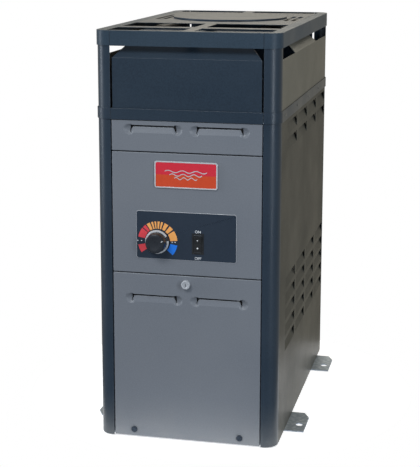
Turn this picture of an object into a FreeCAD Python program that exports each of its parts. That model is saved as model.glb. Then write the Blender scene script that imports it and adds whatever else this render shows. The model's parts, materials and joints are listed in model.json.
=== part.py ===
"""Gas pool heater: a floor-standing atmospheric heater in a sheet-metal cabinet.

Millimetres. X runs to the right as you face the controls, Y runs to the back, Z is up.
The origin is the centre of the four anchor holes, on the floor under the cabinet's centre.
"""
import FreeCAD, Part
import os
import re

import Sketcher

DIMENSIONS = {
    # Cabinet envelope
    "cabinet_width": 381.0,
    "cabinet_depth": 690.0,
    "lower_height": 679.0,
    "collar_height": 23.0,
    "hood_height": 102.0,
    "outlet_height": 24.0,
    "cap_height": 31.0,
    "sheet": 1.5,
    "corner_radius": 28.0,
    "band_proud": 2.0,
    "post_face": 32.5,
    "post_return": 31.0,
    "joint_gap": 0.6,
    "hole_clearance": 0.3,
    # Anchor straps
    "strap_thickness": 2.5,
    "strap_proud": 42.0,
    "strap_width": 109.0,
    "strap_clip_long": 26.0,
    "strap_clip_short": 13.0,
    "anchor_proud": 27.0,
    "anchor_spacing_along": 400.0,
    "anchor_radius": 8.0,
    "anchor_edge": 39.0,
    # Base and front frame
    "base_edge": 22.0,
    "frame_width": 32.0,
    "frame_lap": 8.0,
    # Front panels
    "panel_gap": 2.0,
    "panel_depth": 12.0,
    "panel_seam": 2.0,
    "door_foot": 1.4,
    "control_panel_height": 252.6,
    "vent_panel_height": 65.0,
    "front_louvre_width": 96.0,
    "front_louvre_height": 18.0,
    "front_louvre_offset": 69.0,
    "front_louvre_depth": 7.0,
    "vent_louvre_drop": 28.0,
    "door_louvre_drop": 60.4,
    # Side louvres
    "louvre_columns": 4.0,
    "louvre_bridge": 19.0,
    "louvre_front_margin": 100.0,
    "louvre_rear_margin": 37.0,
    "louvre_height": 24.0,
    "louvre_depth": 10.0,
    "louvre_pitch_down": 34.0,
    "lower_louvre_high": 341.0,
    "lower_louvre_rows": 5.0,
    "upper_louvre_drop": 9.5,
    "upper_louvre_rows": 2.0,
    # Hood and cap
    "hood_rise": 40.0,
    "hood_side_gap": 4.0,
    "side_slope_inset": 160.0,
    "flue_opening_width": 180.0,
    "flue_opening_depth": 240.0,
    "rim_front": 11.0,
    "rim_side": 22.0,
    "rib_width": 24.0,
    "cross_bar_start": 90.0,
    "cross_bar_width": 34.0,
    "top_plate_start": 232.0,
    "top_plate_rear": 62.0,
    "cover_margin": 38.5,
    "cover_rise": 4.0,
    "gill_width": 10.0,
    "gill_length": 150.0,
    "gill_pitch": 16.0,
    "gill_inset": 34.5,
    # Controls
    "badge_width": 131.0,
    "badge_height": 55.0,
    "badge_thickness": 2.5,
    "badge_frame": 2.0,
    "badge_recess": 0.8,
    "badge_rise": 209.1,
    "plate_width": 209.0,
    "plate_height": 99.0,
    "plate_thickness": 1.0,
    "plate_rise": 81.6,
    "dial_across": 60.0,
    "dial_drop": 13.0,
    "shaft_radius": 3.0,
    "shaft_clearance": 0.05,
    "shaft_hole_clearance": 2.0,
    "knob_skirt_radius": 24.7,
    "knob_skirt_height": 6.0,
    "knob_grip_radius": 20.5,
    "knob_height": 24.0,
    "knob_air": 1.2,
    "knob_bore_depth": 14.0,
    "flute_radius": 1.6,
    "flute_offset": 0.6,
    "flute_count": 24.0,
    "thermostat_size": 46.0,
    "thermostat_depth": 26.0,
    "switch_across": 25.0,
    "switch_drop": 14.0,
    "switch_width": 18.0,
    "switch_height": 37.0,
    "switch_rim": 2.0,
    "switch_bezel": 1.2,
    "bezel_thickness": 0.8,
    "switch_clearance": 0.2,
    "switch_depth": 26.0,
    "rocker_clearance": 0.6,
    "rocker_end_clearance": 1.6,
    "rocker_tilt": 9.0,
    "rocker_pivot_depth": 5.0,
    "trunnion_radius": 1.8,
    "trunnion_reach": 1.2,
    "trunnion_clearance": 0.05,
    # Door lock and screws
    "lock_drop": 17.0,
    "lock_radius": 9.0,
    "lock_proud": 8.5,
    "lock_body_radius": 7.5,
    "lock_body_depth": 15.0,
    "key_slot_width": 1.6,
    "key_slot_height": 7.2,
    "key_slot_depth": 5.5,
    "plug_radius": 5.5,
    "plug_clearance": 0.05,
    "plug_recess": 0.5,
    "cam_gap": 0.4,
    "cam_length": 12.0,
    "cam_width": 8.0,
    "cam_thickness": 2.0,
    "door_screw_spacing": 227.0,
    "door_screw_height": 19.0,
    "door_screw_radius": 6.5,
    "door_screw_shank": 2.5,
    "door_screw_head": 3.0,
    # Heat exchanger, burners and gas train
    "chamber_side_gap": 42.5,
    "chamber_start": 145.0,
    "chamber_rear_gap": 95.0,
    "chamber_wall": 18.0,
    "chamber_top": 425.0,
    "burner_deck": 150.0,
    "burner_count": 6.0,
    "burner_radius": 13.0,
    "burner_margin": 4.0,
    "burner_setback": 30.0,
    "burner_head": 3.0,
    "burner_headroom": 10.0,
    "tube_count": 8.0,
    "tube_margin": 36.0,
    "tube_radius": 11.0,
    "tube_wall": 1.2,
    "fin_margin": 15.0,
    "fin_count": 16.0,
    "fin_thickness": 1.0,
    "fin_inset": 12.0,
    "fin_height": 34.0,
    "header_height": 50.0,
    "header_depth": 46.0,
    "water_spacing": 160.0,
    "water_bore": 24.2,
    "water_socket_depth": 30.0,
    "water_passage": 20.0,
    "union_radius": 32.0,
    "union_proud": 35.0,
    "pipe_clearance": 3.0,
    "manifold_radius": 12.0,
    "manifold_distance": 130.0,
    "spud_radius": 4.0,
    "spud_length": 14.0,
    "feed_radius": 9.0,
    "bracket_across": 105.0,
    "bracket_width": 24.0,
    "valve_width": 84.0,
    "valve_depth": 46.0,
    "valve_height": 62.0,
    "valve_across": 40.0,
    "valve_gap": 12.0,
    "tower_radius": 19.0,
    "tower_height": 24.0,
    "valve_knob_radius": 15.0,
    "valve_knob_height": 18.0,
    "valve_knob_gap": 0.5,
    "valve_knob_bar": 8.0,
    "gas_pipe_radius": 13.3,
    "gas_pipe_wall": 2.9,
    "gas_socket_radius": 19.0,
    "gas_socket_depth": 16.0,
    "gas_socket_proud": 4.0,
    "partition_distance": 84.0,
    "module_width": 110.0,
    "module_height": 82.0,
    "module_depth": 34.0,
    "module_across": 60.0,
    "module_rise": 137.1,
    "transformer_size": 54.0,
    "transformer_across": 103.0,
    "transformer_rise": 167.1,
    "gland_radius": 15.0,
    "gland_bore": 7.0,
    "gland_stem_radius": 11.5,
    "gland_stem": 10.0,
    "gland_proud": 16.0,
    "gland_rise": 107.1,
    "gland_distance": 150.0,
    "rivet_radius": 2.4,
    "rivet_head": 1.2,
    "rivet_count": 4.0,
    "rivet_front": 56.0,
    "rivet_rear": 157.0,
}

# Levels and planes that several pieces share
HALF_WIDTH = "(cabinet_width / 2)"
HALF_DEPTH = "(cabinet_depth / 2)"
FRONT = "(-cabinet_depth / 2)"
DECK = "strap_thickness"
COLLAR_LOW = "(strap_thickness + lower_height)"
COLLAR_HIGH = "(strap_thickness + lower_height + collar_height)"
BEND = "(strap_thickness + lower_height + collar_height + hood_height)"
CAP_LOW = f"({BEND} + outlet_height)"
CAP_HIGH = f"({BEND} + outlet_height + cap_height)"
HOOD_LEVEL = f"({BEND} + hood_rise)"
SEAM = "(cabinet_width / 2 - post_face)"
DOOR_LOW = "(strap_thickness + door_foot)"
VENT_LOW = f"({COLLAR_LOW} - vent_panel_height)"
CONTROL_HIGH = f"({VENT_LOW} - panel_seam / 2)"
CONTROL_LOW = f"({CONTROL_HIGH} - control_panel_height)"
DOOR_HIGH = f"({CONTROL_LOW} - panel_seam)"
PANEL_HALF = "(cabinet_width / 2 - post_face - panel_gap)"
PANEL_BACK = f"({FRONT} + panel_depth)"
PLATE_Z = f"({CONTROL_LOW} + plate_rise)"
BADGE_Z = f"({CONTROL_LOW} + badge_rise)"
DIAL_X = "(-dial_across)"
DIAL_Z = f"({PLATE_Z} - dial_drop)"
SWITCH_Z = f"({PLATE_Z} - switch_drop)"
KNOB_BACK = f"({FRONT} - plate_thickness - knob_air)"
LOCK_Z = f"({DOOR_HIGH} - lock_drop)"
DOOR_SCREWS = [(f"{sign}door_screw_spacing / 2", "door_screw_height") for sign in ("-", "")]
LOUVRE_PITCH = ("((cabinet_depth - louvre_front_margin - louvre_rear_margin + louvre_bridge)"
                " / louvre_columns)")
CAP_INSIDE = "(cabinet_width / 2 - rim_side)"
TOP_START = f"({FRONT} + top_plate_start)"
TOP_END = f"({HALF_DEPTH} - top_plate_rear)"
COVER_Y = f"(({TOP_START} + {TOP_END}) / 2)"
CHAMBER_HALF = "(cabinet_width / 2 - chamber_side_gap)"
CHAMBER_INNER = f"({CHAMBER_HALF} - chamber_wall)"
CHAMBER_FRONT = f"({FRONT} + chamber_start)"
CHAMBER_BACK = f"({HALF_DEPTH} - chamber_rear_gap)"
CHAMBER_LENGTH = "(cabinet_depth - chamber_start - chamber_rear_gap)"
BURNER_PITCH = f"((2 * {CHAMBER_INNER} - 2 * burner_margin) / burner_count)"
TUBE_PITCH = f"((2 * {CHAMBER_HALF} - 2 * tube_margin) / (tube_count - 1))"
FIN_PITCH = f"(({CHAMBER_LENGTH} - 2 * fin_margin) / (fin_count - 1))"
TUBE_Z = "(chamber_top + fin_height / 2)"
HEADER_LOW = f"({TUBE_Z} - header_height / 2)"
HEADER_HIGH = f"({TUBE_Z} + header_height / 2)"
BURNER_Z = "(burner_deck + burner_radius)"
MANIFOLD_Y = f"({FRONT} + manifold_distance)"
VALVE_FRONT = f"({MANIFOLD_Y} - manifold_radius - valve_depth - valve_gap)"
GAS_Y = f"({VALVE_FRONT} + valve_depth / 2)"
PARTITION_Y = f"({FRONT} + partition_distance)"
UNION_END = f"({HALF_DEPTH} + union_proud)"

doc = FreeCAD.newDocument("pool_heater")
dims = doc.addObject("Spreadsheet::Sheet", "Dims")
for row, (alias, number) in enumerate(DIMENSIONS.items(), 1):
    dims.set(f"A{row}", alias)
    dims.set(f"B{row}", str(number))
    dims.setAlias(f"B{row}", alias)
doc.recompute()

ALIAS = re.compile(r"\b(" + "|".join(sorted(DIMENSIONS, key=len, reverse=True)) + r")\b")
PIECES = []
LEFT, RIGHT = -1, 1
FRONT_END, REAR_END = -1, 1


def full(text):
    """An expression on the sheet: every alias in the text gets the sheet's name."""
    return ALIAS.sub(r"Dims.\1", str(text))


def value(text):
    """The number that an expression gives with the sheet as it stands."""
    return float(dims.evalExpression(full(text)))


def bind(thing, prop, text):
    thing.setExpression(prop, full(text))


def mirrored(sign, text):
    """The same distance on the other side of the middle plane."""
    return f"({text})" if sign > 0 else f"(-({text}))"


def between(sign, inner, outer):
    """Low and high ends of a stretch that lies on the given side of the middle plane."""
    return (f"({inner})", f"({outer})") if sign > 0 else (f"(-({outer}))", f"(-({inner}))")


def rectangle(low_x, high_x, low_y, high_y):
    return [(low_x, low_y), (high_x, low_y), (high_x, high_y), (low_x, high_y)]


# --- Bodies, sketches and features ---------------------------------------------------------

def helper_body(name):
    """A body that is an operand of a later boolean or a member of a group."""
    return doc.addObject("PartDesign::Body", name)


def new_body(name):
    """A body that is a sub-part of its own."""
    body = helper_body(name)
    body.Label = name
    PIECES.append(body)
    return body


def place_sketch(body, name, plane, level):
    """A sketch on one of the body's own origin planes, moved to a level along its normal."""
    sketch = body.newObject("Sketcher::SketchObject", name)
    origin = [f for f in body.Origin.OriginFeatures if f.Role == plane + "_Plane"][0]
    sketch.AttachmentSupport = [(origin, "")]
    sketch.MapMode = "FlatFace"
    bind(sketch, "AttachmentOffset.Base.z", level)
    return sketch


def tie(sketch, kind, geometry, end, text):
    """Fix one end point of the geometry at a distance from the sketch's origin."""
    number = sketch.addConstraint(Sketcher.Constraint(kind, -1, 1, geometry, end, value(text)))
    bind(sketch, f"Constraints[{number}]", text)


def draw_outline(sketch, points):
    corners = [FreeCAD.Vector(value(x), value(y), 0) for x, y in points]
    count = len(points)
    for index in range(count):
        sketch.addGeometry(Part.LineSegment(corners[index], corners[(index + 1) % count]), False)
    for index in range(count):
        sketch.addConstraint(Sketcher.Constraint("Coincident", index, 2, (index + 1) % count, 1))
    for index, (x, y) in enumerate(points):
        tie(sketch, "DistanceX", index, 1, x)
        tie(sketch, "DistanceY", index, 1, y)


def draw_circles(sketch, centres, radius):
    for index, (x, y) in enumerate(centres):
        centre = FreeCAD.Vector(value(x), value(y), 0)
        normal = FreeCAD.Vector(0, 0, 1)
        sketch.addGeometry(Part.Circle(centre, normal, value(radius)), False)
        tie(sketch, "DistanceX", index, 3, x)
        tie(sketch, "DistanceY", index, 3, y)
        number = sketch.addConstraint(Sketcher.Constraint("Radius", index, value(radius)))
        bind(sketch, f"Constraints[{number}]", radius)


def add_feature(body, kind, sketch, length):
    feature = body.newObject(f"PartDesign::{kind}", f"{kind}_{sketch.Name}")
    feature.Profile = sketch
    bind(feature, "Length", length)
    sketch.Visibility = False
    return feature


def pad_level(plane, low, high):
    """Where a pad's sketch stands: XZ sketches look along -Y, so they start at the high end."""
    return f"-({high})" if plane == "XZ" else f"({low})"


def pocket_level(plane, low, high):
    """A pocket runs against the sketch's normal, so it starts from the other end."""
    return f"-({low})" if plane == "XZ" else f"({high})"


def pad(body, name, plane, points, low, high):
    sketch = place_sketch(body, name, plane, pad_level(plane, low, high))
    draw_outline(sketch, points)
    return add_feature(body, "Pad", sketch, f"({high}) - ({low})")


def pad_round(body, name, plane, centres, radius, low, high):
    sketch = place_sketch(body, name, plane, pad_level(plane, low, high))
    draw_circles(sketch, centres, radius)
    return add_feature(body, "Pad", sketch, f"({high}) - ({low})")


def pocket(body, name, plane, points, low, high):
    sketch = place_sketch(body, name, plane, pocket_level(plane, low, high))
    draw_outline(sketch, points)
    return add_feature(body, "Pocket", sketch, f"({high}) - ({low})")


def pocket_round(body, name, plane, centres, radius, low, high):
    sketch = place_sketch(body, name, plane, pocket_level(plane, low, high))
    draw_circles(sketch, centres, radius)
    return add_feature(body, "Pocket", sketch, f"({high}) - ({low})")


def upright_edge(shape, x, y):
    """Names of the edges that stand at the given place in plan."""
    names = []
    for number, edge in enumerate(shape.Edges, 1):
        places = [vertex.Point for vertex in edge.Vertexes]
        if len(places) == 2 and all(abs(p.x - x) < 0.01 and abs(p.y - y) < 0.01 for p in places):
            names.append(f"Edge{number}")
    return names


def round_upright(body, name, corners, radius):
    """Fillet the upright edges that stand at the given corners."""
    doc.recompute()
    base = body.Tip
    edges = []
    for x, y in corners:
        edges += upright_edge(base.Shape, value(x), value(y))
    fillet = body.newObject("PartDesign::Fillet", name)
    fillet.Base = (base, edges)
    bind(fillet, "Radius", radius)
    return fillet


def rounded_block(name, outline, corners, radius, low, high):
    """A block whose named upright corners are rounded, to be cut or to cut with."""
    body = helper_body(name)
    pad(body, name + "_outline", "XY", outline, low, high)
    round_upright(body, name + "_corners", corners, radius)
    return body


def repeat(body, name, originals, sketch, steps):
    """Repeat features along the sketch's axes: across, and then downwards."""
    pattern = body.newObject("PartDesign::MultiTransform", name)
    pattern.Originals = originals
    rows = []
    for axis, pitch, count in steps:
        row = doc.addObject("PartDesign::LinearPattern", f"{name}_{axis}")
        body.addObject(row)
        row.Direction = (sketch, [axis])
        row.Reversed = axis == "V_Axis"
        bind(row, "Length", f"({pitch}) * ({count} - 1)")
        row.Occurrences = int(value(count))
        rows.append(row)
    pattern.Transformations = rows
    body.Tip = pattern
    return pattern


# --- Solids made from primitives -----------------------------------------------------------

def cylinder(name, axis, start, length, radius):
    """A cylinder from a start point along X, Y or Z."""
    turns = {"X": FreeCAD.Rotation(FreeCAD.Vector(0, 1, 0), 90),
             "Y": FreeCAD.Rotation(FreeCAD.Vector(1, 0, 0), -90),
             "Z": FreeCAD.Rotation()}
    solid = doc.addObject("Part::Cylinder", name)
    solid.Placement = FreeCAD.Placement(FreeCAD.Vector(), turns[axis])
    bind(solid, "Radius", radius)
    bind(solid, "Height", length)
    for direction, text in zip("xyz", start):
        bind(solid, f"Placement.Base.{direction}", text)
    return solid


def box(name, across, along, up):
    """A box between a low and a high end in X, Y and Z."""
    solid = doc.addObject("Part::Box", name)
    for prop, direction, (low, high) in zip(("Length", "Width", "Height"), "xyz", (across, along, up)):
        bind(solid, prop, f"({high}) - ({low})")
        bind(solid, f"Placement.Base.{direction}", low)
    return solid


def joined(name, solids):
    result = doc.addObject("Part::MultiFuse", name)
    result.Shapes = solids
    return result


def minus(name, base, tool):
    result = doc.addObject("Part::Cut", name)
    result.Base = base
    result.Tool = tool
    return result


def group(name, solids):
    """Identical pieces that share one name, each a solid of its own."""
    result = doc.addObject("Part::Compound", name)
    result.Links = solids
    return result


def finish(piece, name):
    piece.Label = name
    PIECES.append(piece)
    return piece


# --- Base and anchors ----------------------------------------------------------------------

def anchor_strap(name, end):
    """A flat strap under the cabinet with a hole at each end and two clipped corners."""
    hole_y = mirrored(end, "anchor_spacing_along / 2")
    front = f"({hole_y} - anchor_edge)"
    back = f"({hole_y} - anchor_edge + strap_width)"
    tip = f"({HALF_WIDTH} + strap_proud)"
    body = helper_body(name)
    pad(body, name + "_outline", "XY", [
        (f"-{tip}", f"{front} + strap_clip_long"),
        (f"-{tip} + strap_clip_short", front),
        (tip, front),
        (tip, f"{back} - strap_clip_long"),
        (f"{tip} - strap_clip_short", back),
        (f"-{tip}", back),
    ], "0", "strap_thickness")
    holes = [(mirrored(side, f"{HALF_WIDTH} + anchor_proud"), hole_y) for side in (LEFT, RIGHT)]
    pocket_round(body, name + "_holes", "XY", holes, "anchor_radius", "0", "strap_thickness")
    return body


def base_pan():
    """The floor of the cabinet: a tray with a turned-up edge and rounded corners."""
    across = "(cabinet_width / 2 - sheet - joint_gap)"
    front = f"({PANEL_BACK} + sheet + joint_gap)"
    back = f"({HALF_DEPTH} - sheet - joint_gap)"
    high = f"({DECK} + base_edge)"
    corners = [(f"{sign}{across}", y) for sign in ("-", "") for y in (front, back)]
    outside = rounded_block("base_outside", rectangle(f"-{across}", across, front, back), corners,
                            "corner_radius - sheet - joint_gap", DECK, high)
    inner_across, inner_front, inner_back = f"({across} - sheet)", f"({front} + sheet)", f"({back} - sheet)"
    corners = [(f"{sign}{inner_across}", y) for sign in ("-", "") for y in (inner_front, inner_back)]
    inside = rounded_block("base_inside",
                           rectangle(f"-{inner_across}", inner_across, inner_front, inner_back),
                           corners, "corner_radius - 2 * sheet - joint_gap", f"{DECK} + sheet", high)
    finish(minus("base_pan_shell", outside, inside), "base_pan")


def front_frame():
    """Two upright strips between the corner posts that the front panels are fixed to."""
    strips = []
    for side, word in ((LEFT, "left"), (RIGHT, "right")):
        across = between(side, f"{SEAM} - frame_lap", f"{SEAM} - frame_lap + frame_width")
        strips.append(box(f"front_frame_{word}", across, (PANEL_BACK, f"{PANEL_BACK} + sheet"),
                          (DECK, COLLAR_LOW)))
    finish(group("front_frame_pair", strips), "front_frame")


# --- Posts, collar and cap -----------------------------------------------------------------

def corner_post(name, side, end, low, high):
    """An L-shaped corner post with a rounded outer corner."""
    def block(word, reach_x, reach_y, inset, radius):
        """The post's corner of the cabinet, filled in, as far as its inset outer faces."""
        outer_x, outer_y = f"{HALF_WIDTH} - {inset}", f"{HALF_DEPTH} - {inset}"
        low_x, high_x = between(side, f"{HALF_WIDTH} - {reach_x}", outer_x)
        low_y, high_y = between(end, f"{HALF_DEPTH} - {reach_y}", outer_y)
        corner = (mirrored(side, outer_x), mirrored(end, outer_y))
        return rounded_block(f"{name}_{word}", rectangle(low_x, high_x, low_y, high_y), [corner],
                             radius, low, high)

    outside = block("outside", "post_face", "post_return", "0", "corner_radius")
    inside = block("inside", "post_face - 1", "post_return - 1", "sheet", "corner_radius - sheet")
    finish(minus(name + "_shell", outside, inside), name)


def wrapped_band(name, side, inset, low, high, reach):
    """A block along one side of the cabinet, rounded at both corners, inset from the band's face."""
    outer_x = f"({HALF_WIDTH} + band_proud - {inset})"
    outer_y = f"({HALF_DEPTH} + band_proud - {inset})"
    seam_low, seam_high = between(side, reach, outer_x)
    corners = [(mirrored(side, outer_x), f"{sign}{outer_y}") for sign in ("-", "")]
    return rounded_block(name, rectangle(seam_low, seam_high, f"-{outer_y}", outer_y), corners,
                         f"corner_radius + band_proud - {inset}", low, high)


def collar_side(name, side):
    """One side of the collar, wrapped round both corners as far as the seams."""
    outside = wrapped_band(name + "_outside", side, "0", COLLAR_LOW, COLLAR_HIGH, SEAM)
    inside = wrapped_band(name + "_inside", side, "sheet", COLLAR_LOW, COLLAR_HIGH, f"{SEAM} - 1")
    finish(minus(name + "_shell", outside, inside), name)


def cap_side(name, side):
    """One side of the cap: a skirt with a flange turned in along its top."""
    under = f"{CAP_HIGH} - sheet"
    outside = wrapped_band(name + "_outside", side, "0", CAP_LOW, CAP_HIGH, SEAM)
    inside = wrapped_band(name + "_inside", side, "sheet", CAP_LOW, under, f"{SEAM} - 1")
    across = between(side, f"{SEAM} - 1", f"{HALF_WIDTH} - rim_side")
    along = (f"-({HALF_DEPTH} - rim_front)", f"({HALF_DEPTH} - rim_front)")
    opening = box(name + "_opening", across, along, (CAP_LOW, CAP_HIGH))
    finish(minus(name + "_shell", outside, joined(name + "_void", [inside, opening])), name)


def collar_rails():
    """The straight rails of the collar between its seams, front and back."""
    outer = f"({HALF_DEPTH} + band_proud)"
    half = f"({SEAM} - joint_gap)"
    rails = [box(f"collar_rail_{word}", (f"-{half}", half), between(end, f"{outer} - sheet", outer),
                 (COLLAR_LOW, COLLAR_HIGH))
             for end, word in ((FRONT_END, "front"), (REAR_END, "rear"))]
    finish(group("collar_rail_pair", rails), "collar_rails")


def cap_rail(name, end):
    """The straight rail of the cap between its seams: a skirt with a flange along its top."""
    outer = f"({HALF_DEPTH} + band_proud)"
    half = f"({SEAM} - joint_gap)"
    inner = f"{HALF_DEPTH} - rim_front"
    pad(new_body(name), name + "_section", "YZ", [
        (mirrored(end, outer), CAP_LOW),
        (mirrored(end, outer), CAP_HIGH),
        (mirrored(end, inner), CAP_HIGH),
        (mirrored(end, inner), f"{CAP_HIGH} - sheet"),
        (mirrored(end, f"{outer} - sheet"), f"{CAP_HIGH} - sheet"),
        (mirrored(end, f"{outer} - sheet"), CAP_LOW),
    ], f"-{half}", half)


# --- Panels --------------------------------------------------------------------------------

def louvres_on_side(body, name, side, top, rows):
    """Rows of louvres: each slot keeps its own flap, hinged at the bottom and pushed inwards."""
    low = f"({top} - louvre_height)"
    start = f"({FRONT} + louvre_front_margin)"
    end = f"({start} + {LOUVRE_PITCH} - louvre_bridge)"
    face_low, face_high = between(side, f"{HALF_WIDTH} - sheet", HALF_WIDTH)
    slot = pocket(body, name + "_slot", "YZ",
                  rectangle(start, end, low, top), face_low, face_high)
    flap = pad(body, name + "_flap", "XZ", [
        (mirrored(side, HALF_WIDTH), f"{low} - sheet"),
        (mirrored(side, f"{HALF_WIDTH} - sheet"), f"{low} - sheet"),
        (mirrored(side, f"{HALF_WIDTH} - louvre_depth"), top),
        (mirrored(side, f"{HALF_WIDTH} - louvre_depth + sheet"), top),
    ], start, end)
    repeat(body, name, [slot, flap], slot.Profile[0],
           [("H_Axis", LOUVRE_PITCH, "louvre_columns"), ("V_Axis", "louvre_pitch_down", rows)])


def side_panel(name, side):
    """A side of the lower cabinet, with a louvred field at the top and another low down."""
    face_low, face_high = between(side, f"{HALF_WIDTH} - sheet", HALF_WIDTH)
    reach = f"({HALF_DEPTH} - post_return - joint_gap)"
    body = new_body(name)
    pad(body, name + "_sheet", "YZ", rectangle(f"-{reach}", reach, DECK, COLLAR_LOW), face_low, face_high)
    louvres_on_side(body, name + "_upper", side, f"({COLLAR_LOW} - upper_louvre_drop)", "upper_louvre_rows")
    louvres_on_side(body, name + "_lower", side, "lower_louvre_high", "lower_louvre_rows")
    if side == LEFT:
        pocket_round(body, name + "_gas_hole", "YZ", [(GAS_Y, BURNER_Z)],
                     "gas_socket_radius + 2 * hole_clearance", face_low, face_high)
        pocket_round(body, name + "_cable_hole", "YZ",
                     [(f"{FRONT} + gland_distance", f"{CONTROL_LOW} + gland_rise")],
                     "gland_stem_radius + hole_clearance", face_low, face_high)


def rear_panel():
    """The back of the lower cabinet, with holes for the two water unions."""
    half = f"({SEAM} - joint_gap)"
    body = new_body("rear_panel")
    pad(body, "rear_sheet", "XZ", rectangle(f"-{half}", half, DECK, COLLAR_LOW),
        f"{HALF_DEPTH} - sheet", HALF_DEPTH)
    ports = [("-water_spacing / 2", TUBE_Z), ("water_spacing / 2", TUBE_Z)]
    pocket_round(body, "rear_ports", "XZ", ports, "union_radius + pipe_clearance",
                 f"{HALF_DEPTH} - sheet", HALF_DEPTH)


def front_pan(name, low, high, back=PANEL_BACK):
    """A front panel folded back along all four edges into a shallow pan."""
    half = PANEL_HALF
    body = new_body(name)
    pad(body, name + "_face", "XZ", rectangle(f"-{half}", half, low, high), FRONT, back)
    pocket(body, name + "_hollow", "XZ",
           rectangle(f"-{half} + sheet", f"{half} - sheet", f"{low} + sheet", f"{high} - sheet"),
           f"{FRONT} + sheet", back)
    return body


def front_louvres(body, name, top):
    """Two louvres side by side in a front panel."""
    low = f"({top} - front_louvre_height)"
    for side, word in ((LEFT, "left"), (RIGHT, "right")):
        centre = mirrored(side, "front_louvre_offset")
        start = f"({centre} - front_louvre_width / 2)"
        end = f"({centre} + front_louvre_width / 2)"
        pocket(body, f"{name}_{word}_slot", "XZ", rectangle(start, end, low, top),
               FRONT, f"{FRONT} + sheet")
        pad(body, f"{name}_{word}_flap", "YZ", [
            (FRONT, f"{low} - sheet"),
            (f"{FRONT} + sheet", f"{low} - sheet"),
            (f"{FRONT} + front_louvre_depth", top),
            (f"{FRONT} + front_louvre_depth - sheet", top),
        ], start, end)


def vent_panel():
    body = front_pan("vent_panel", f"{VENT_LOW} + panel_seam / 2", f"{COLLAR_LOW} - joint_gap")
    front_louvres(body, "vent_louvre", f"({COLLAR_LOW} - vent_louvre_drop + front_louvre_height)")


def control_panel():
    """The middle front panel, with openings for the thermostat shaft and the switch."""
    body = front_pan("control_panel", CONTROL_LOW, CONTROL_HIGH)
    pocket_round(body, "shaft_hole", "XZ", [(DIAL_X, DIAL_Z)],
                 "shaft_radius + shaft_hole_clearance", FRONT, f"{FRONT} + sheet")
    pocket(body, "switch_hole", "XZ", switch_outline("switch_rim"), FRONT, f"{FRONT} + sheet")


def door():
    """The lift-off front door over the burner compartment."""
    body = front_pan("door_panel", DOOR_LOW, DOOR_HIGH, f"({PANEL_BACK} - joint_gap)")
    front_louvres(body, "door_louvre", f"({DOOR_HIGH} - door_louvre_drop + front_louvre_height)")
    pocket_round(body, "lock_hole", "XZ", [("0", LOCK_Z)], "lock_body_radius + hole_clearance",
                 FRONT, f"{FRONT} + sheet")
    pocket_round(body, "door_screw_holes", "XZ", DOOR_SCREWS, "door_screw_shank + hole_clearance",
                 FRONT, f"{FRONT} + sheet")


# --- Hood and top --------------------------------------------------------------------------

def hood_sheet(name, plane, normal_side, face, half, low, inset="0"):
    """A wall that stands up from the collar and then leans in at 45 degrees to the hood's top.

    Its leaning part starts at an inset from both ends and is clipped there, so that four such
    sheets leave open hips.
    """
    body = new_body(name)
    lean = "hood_rise"
    thick = "(sheet * sqrt(2))"
    section_plane = "YZ" if plane == "XZ" else "XZ"
    pad(body, name + "_section", section_plane, [
        (mirrored(normal_side, face), low),
        (mirrored(normal_side, face), BEND),
        (mirrored(normal_side, f"{face} - {lean}"), f"{BEND} + {lean}"),
        (mirrored(normal_side, f"{face} - {lean} - {thick}"), f"{BEND} + {lean}"),
        (mirrored(normal_side, f"{face} - sheet"), f"{BEND} + sheet - {thick}"),
        (mirrored(normal_side, f"{face} - sheet"), low),
    ], f"-{half}", half)
    cut_low, cut_high = between(normal_side, f"{face} - {lean} - 10", f"{face} + 1")
    for sign, word in (("-", "low"), ("", "high")):
        pocket(body, f"{name}_{word}_hip", plane, [
            (f"{sign}({half} + 1)", BEND),
            (f"{sign}({half} - {inset})", BEND),
            (f"{sign}({half} - {inset} - {lean} - 1)", f"{BEND} + {lean} + 1"),
            (f"{sign}({half} + 1)", f"{BEND} + {lean} + 1"),
        ], cut_low, cut_high)


def hood():
    low = f"({COLLAR_LOW} + sheet)"
    across = "(cabinet_width / 2 - post_face - hood_side_gap)"
    along = f"({HALF_DEPTH} - post_return - joint_gap)"
    hood_sheet("hood_front", "XZ", FRONT_END, f"({HALF_DEPTH} - sheet)", across, low)
    rear_face = f"({HALF_DEPTH} - sheet)"
    pad(new_body("hood_rear"), "hood_rear_sheet", "XZ",
        rectangle(f"-{across}", across, low, f"({CAP_HIGH} - sheet)"),
        f"({rear_face} - sheet)", rear_face)
    hood_sheet("upper_side_left", "YZ", LEFT, HALF_WIDTH, along, low, "side_slope_inset")
    hood_sheet("upper_side_right", "YZ", RIGHT, HALF_WIDTH, along, low, "side_slope_inset")
    top_across = f"({HALF_WIDTH} - hood_rise)"
    top_along = f"({HALF_DEPTH} - sheet - hood_rise)"
    inset_across = f"({across} - hood_rise)"
    inset_along = f"({along} - hood_rise)"
    rear_along = f"({rear_face} - sheet)"
    body = new_body("hood_top")
    pad(body, "hood_top_outline", "XY", [
        (f"-{top_across}", f"-{inset_along}"),
        (f"-{inset_across}", f"-{top_along}"),
        (inset_across, f"-{top_along}"),
        (top_across, f"-{inset_along}"),
        (top_across, rear_along),
        (f"-{top_across}", rear_along),
    ], HOOD_LEVEL, f"{HOOD_LEVEL} + sheet")
    pocket(body, "flue_opening", "XY",
           rectangle("-flue_opening_width / 2", "flue_opening_width / 2",
                     f"{COVER_Y} - flue_opening_depth / 2", f"{COVER_Y} + flue_opening_depth / 2"),
           HOOD_LEVEL, f"{HOOD_LEVEL} + sheet")


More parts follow.
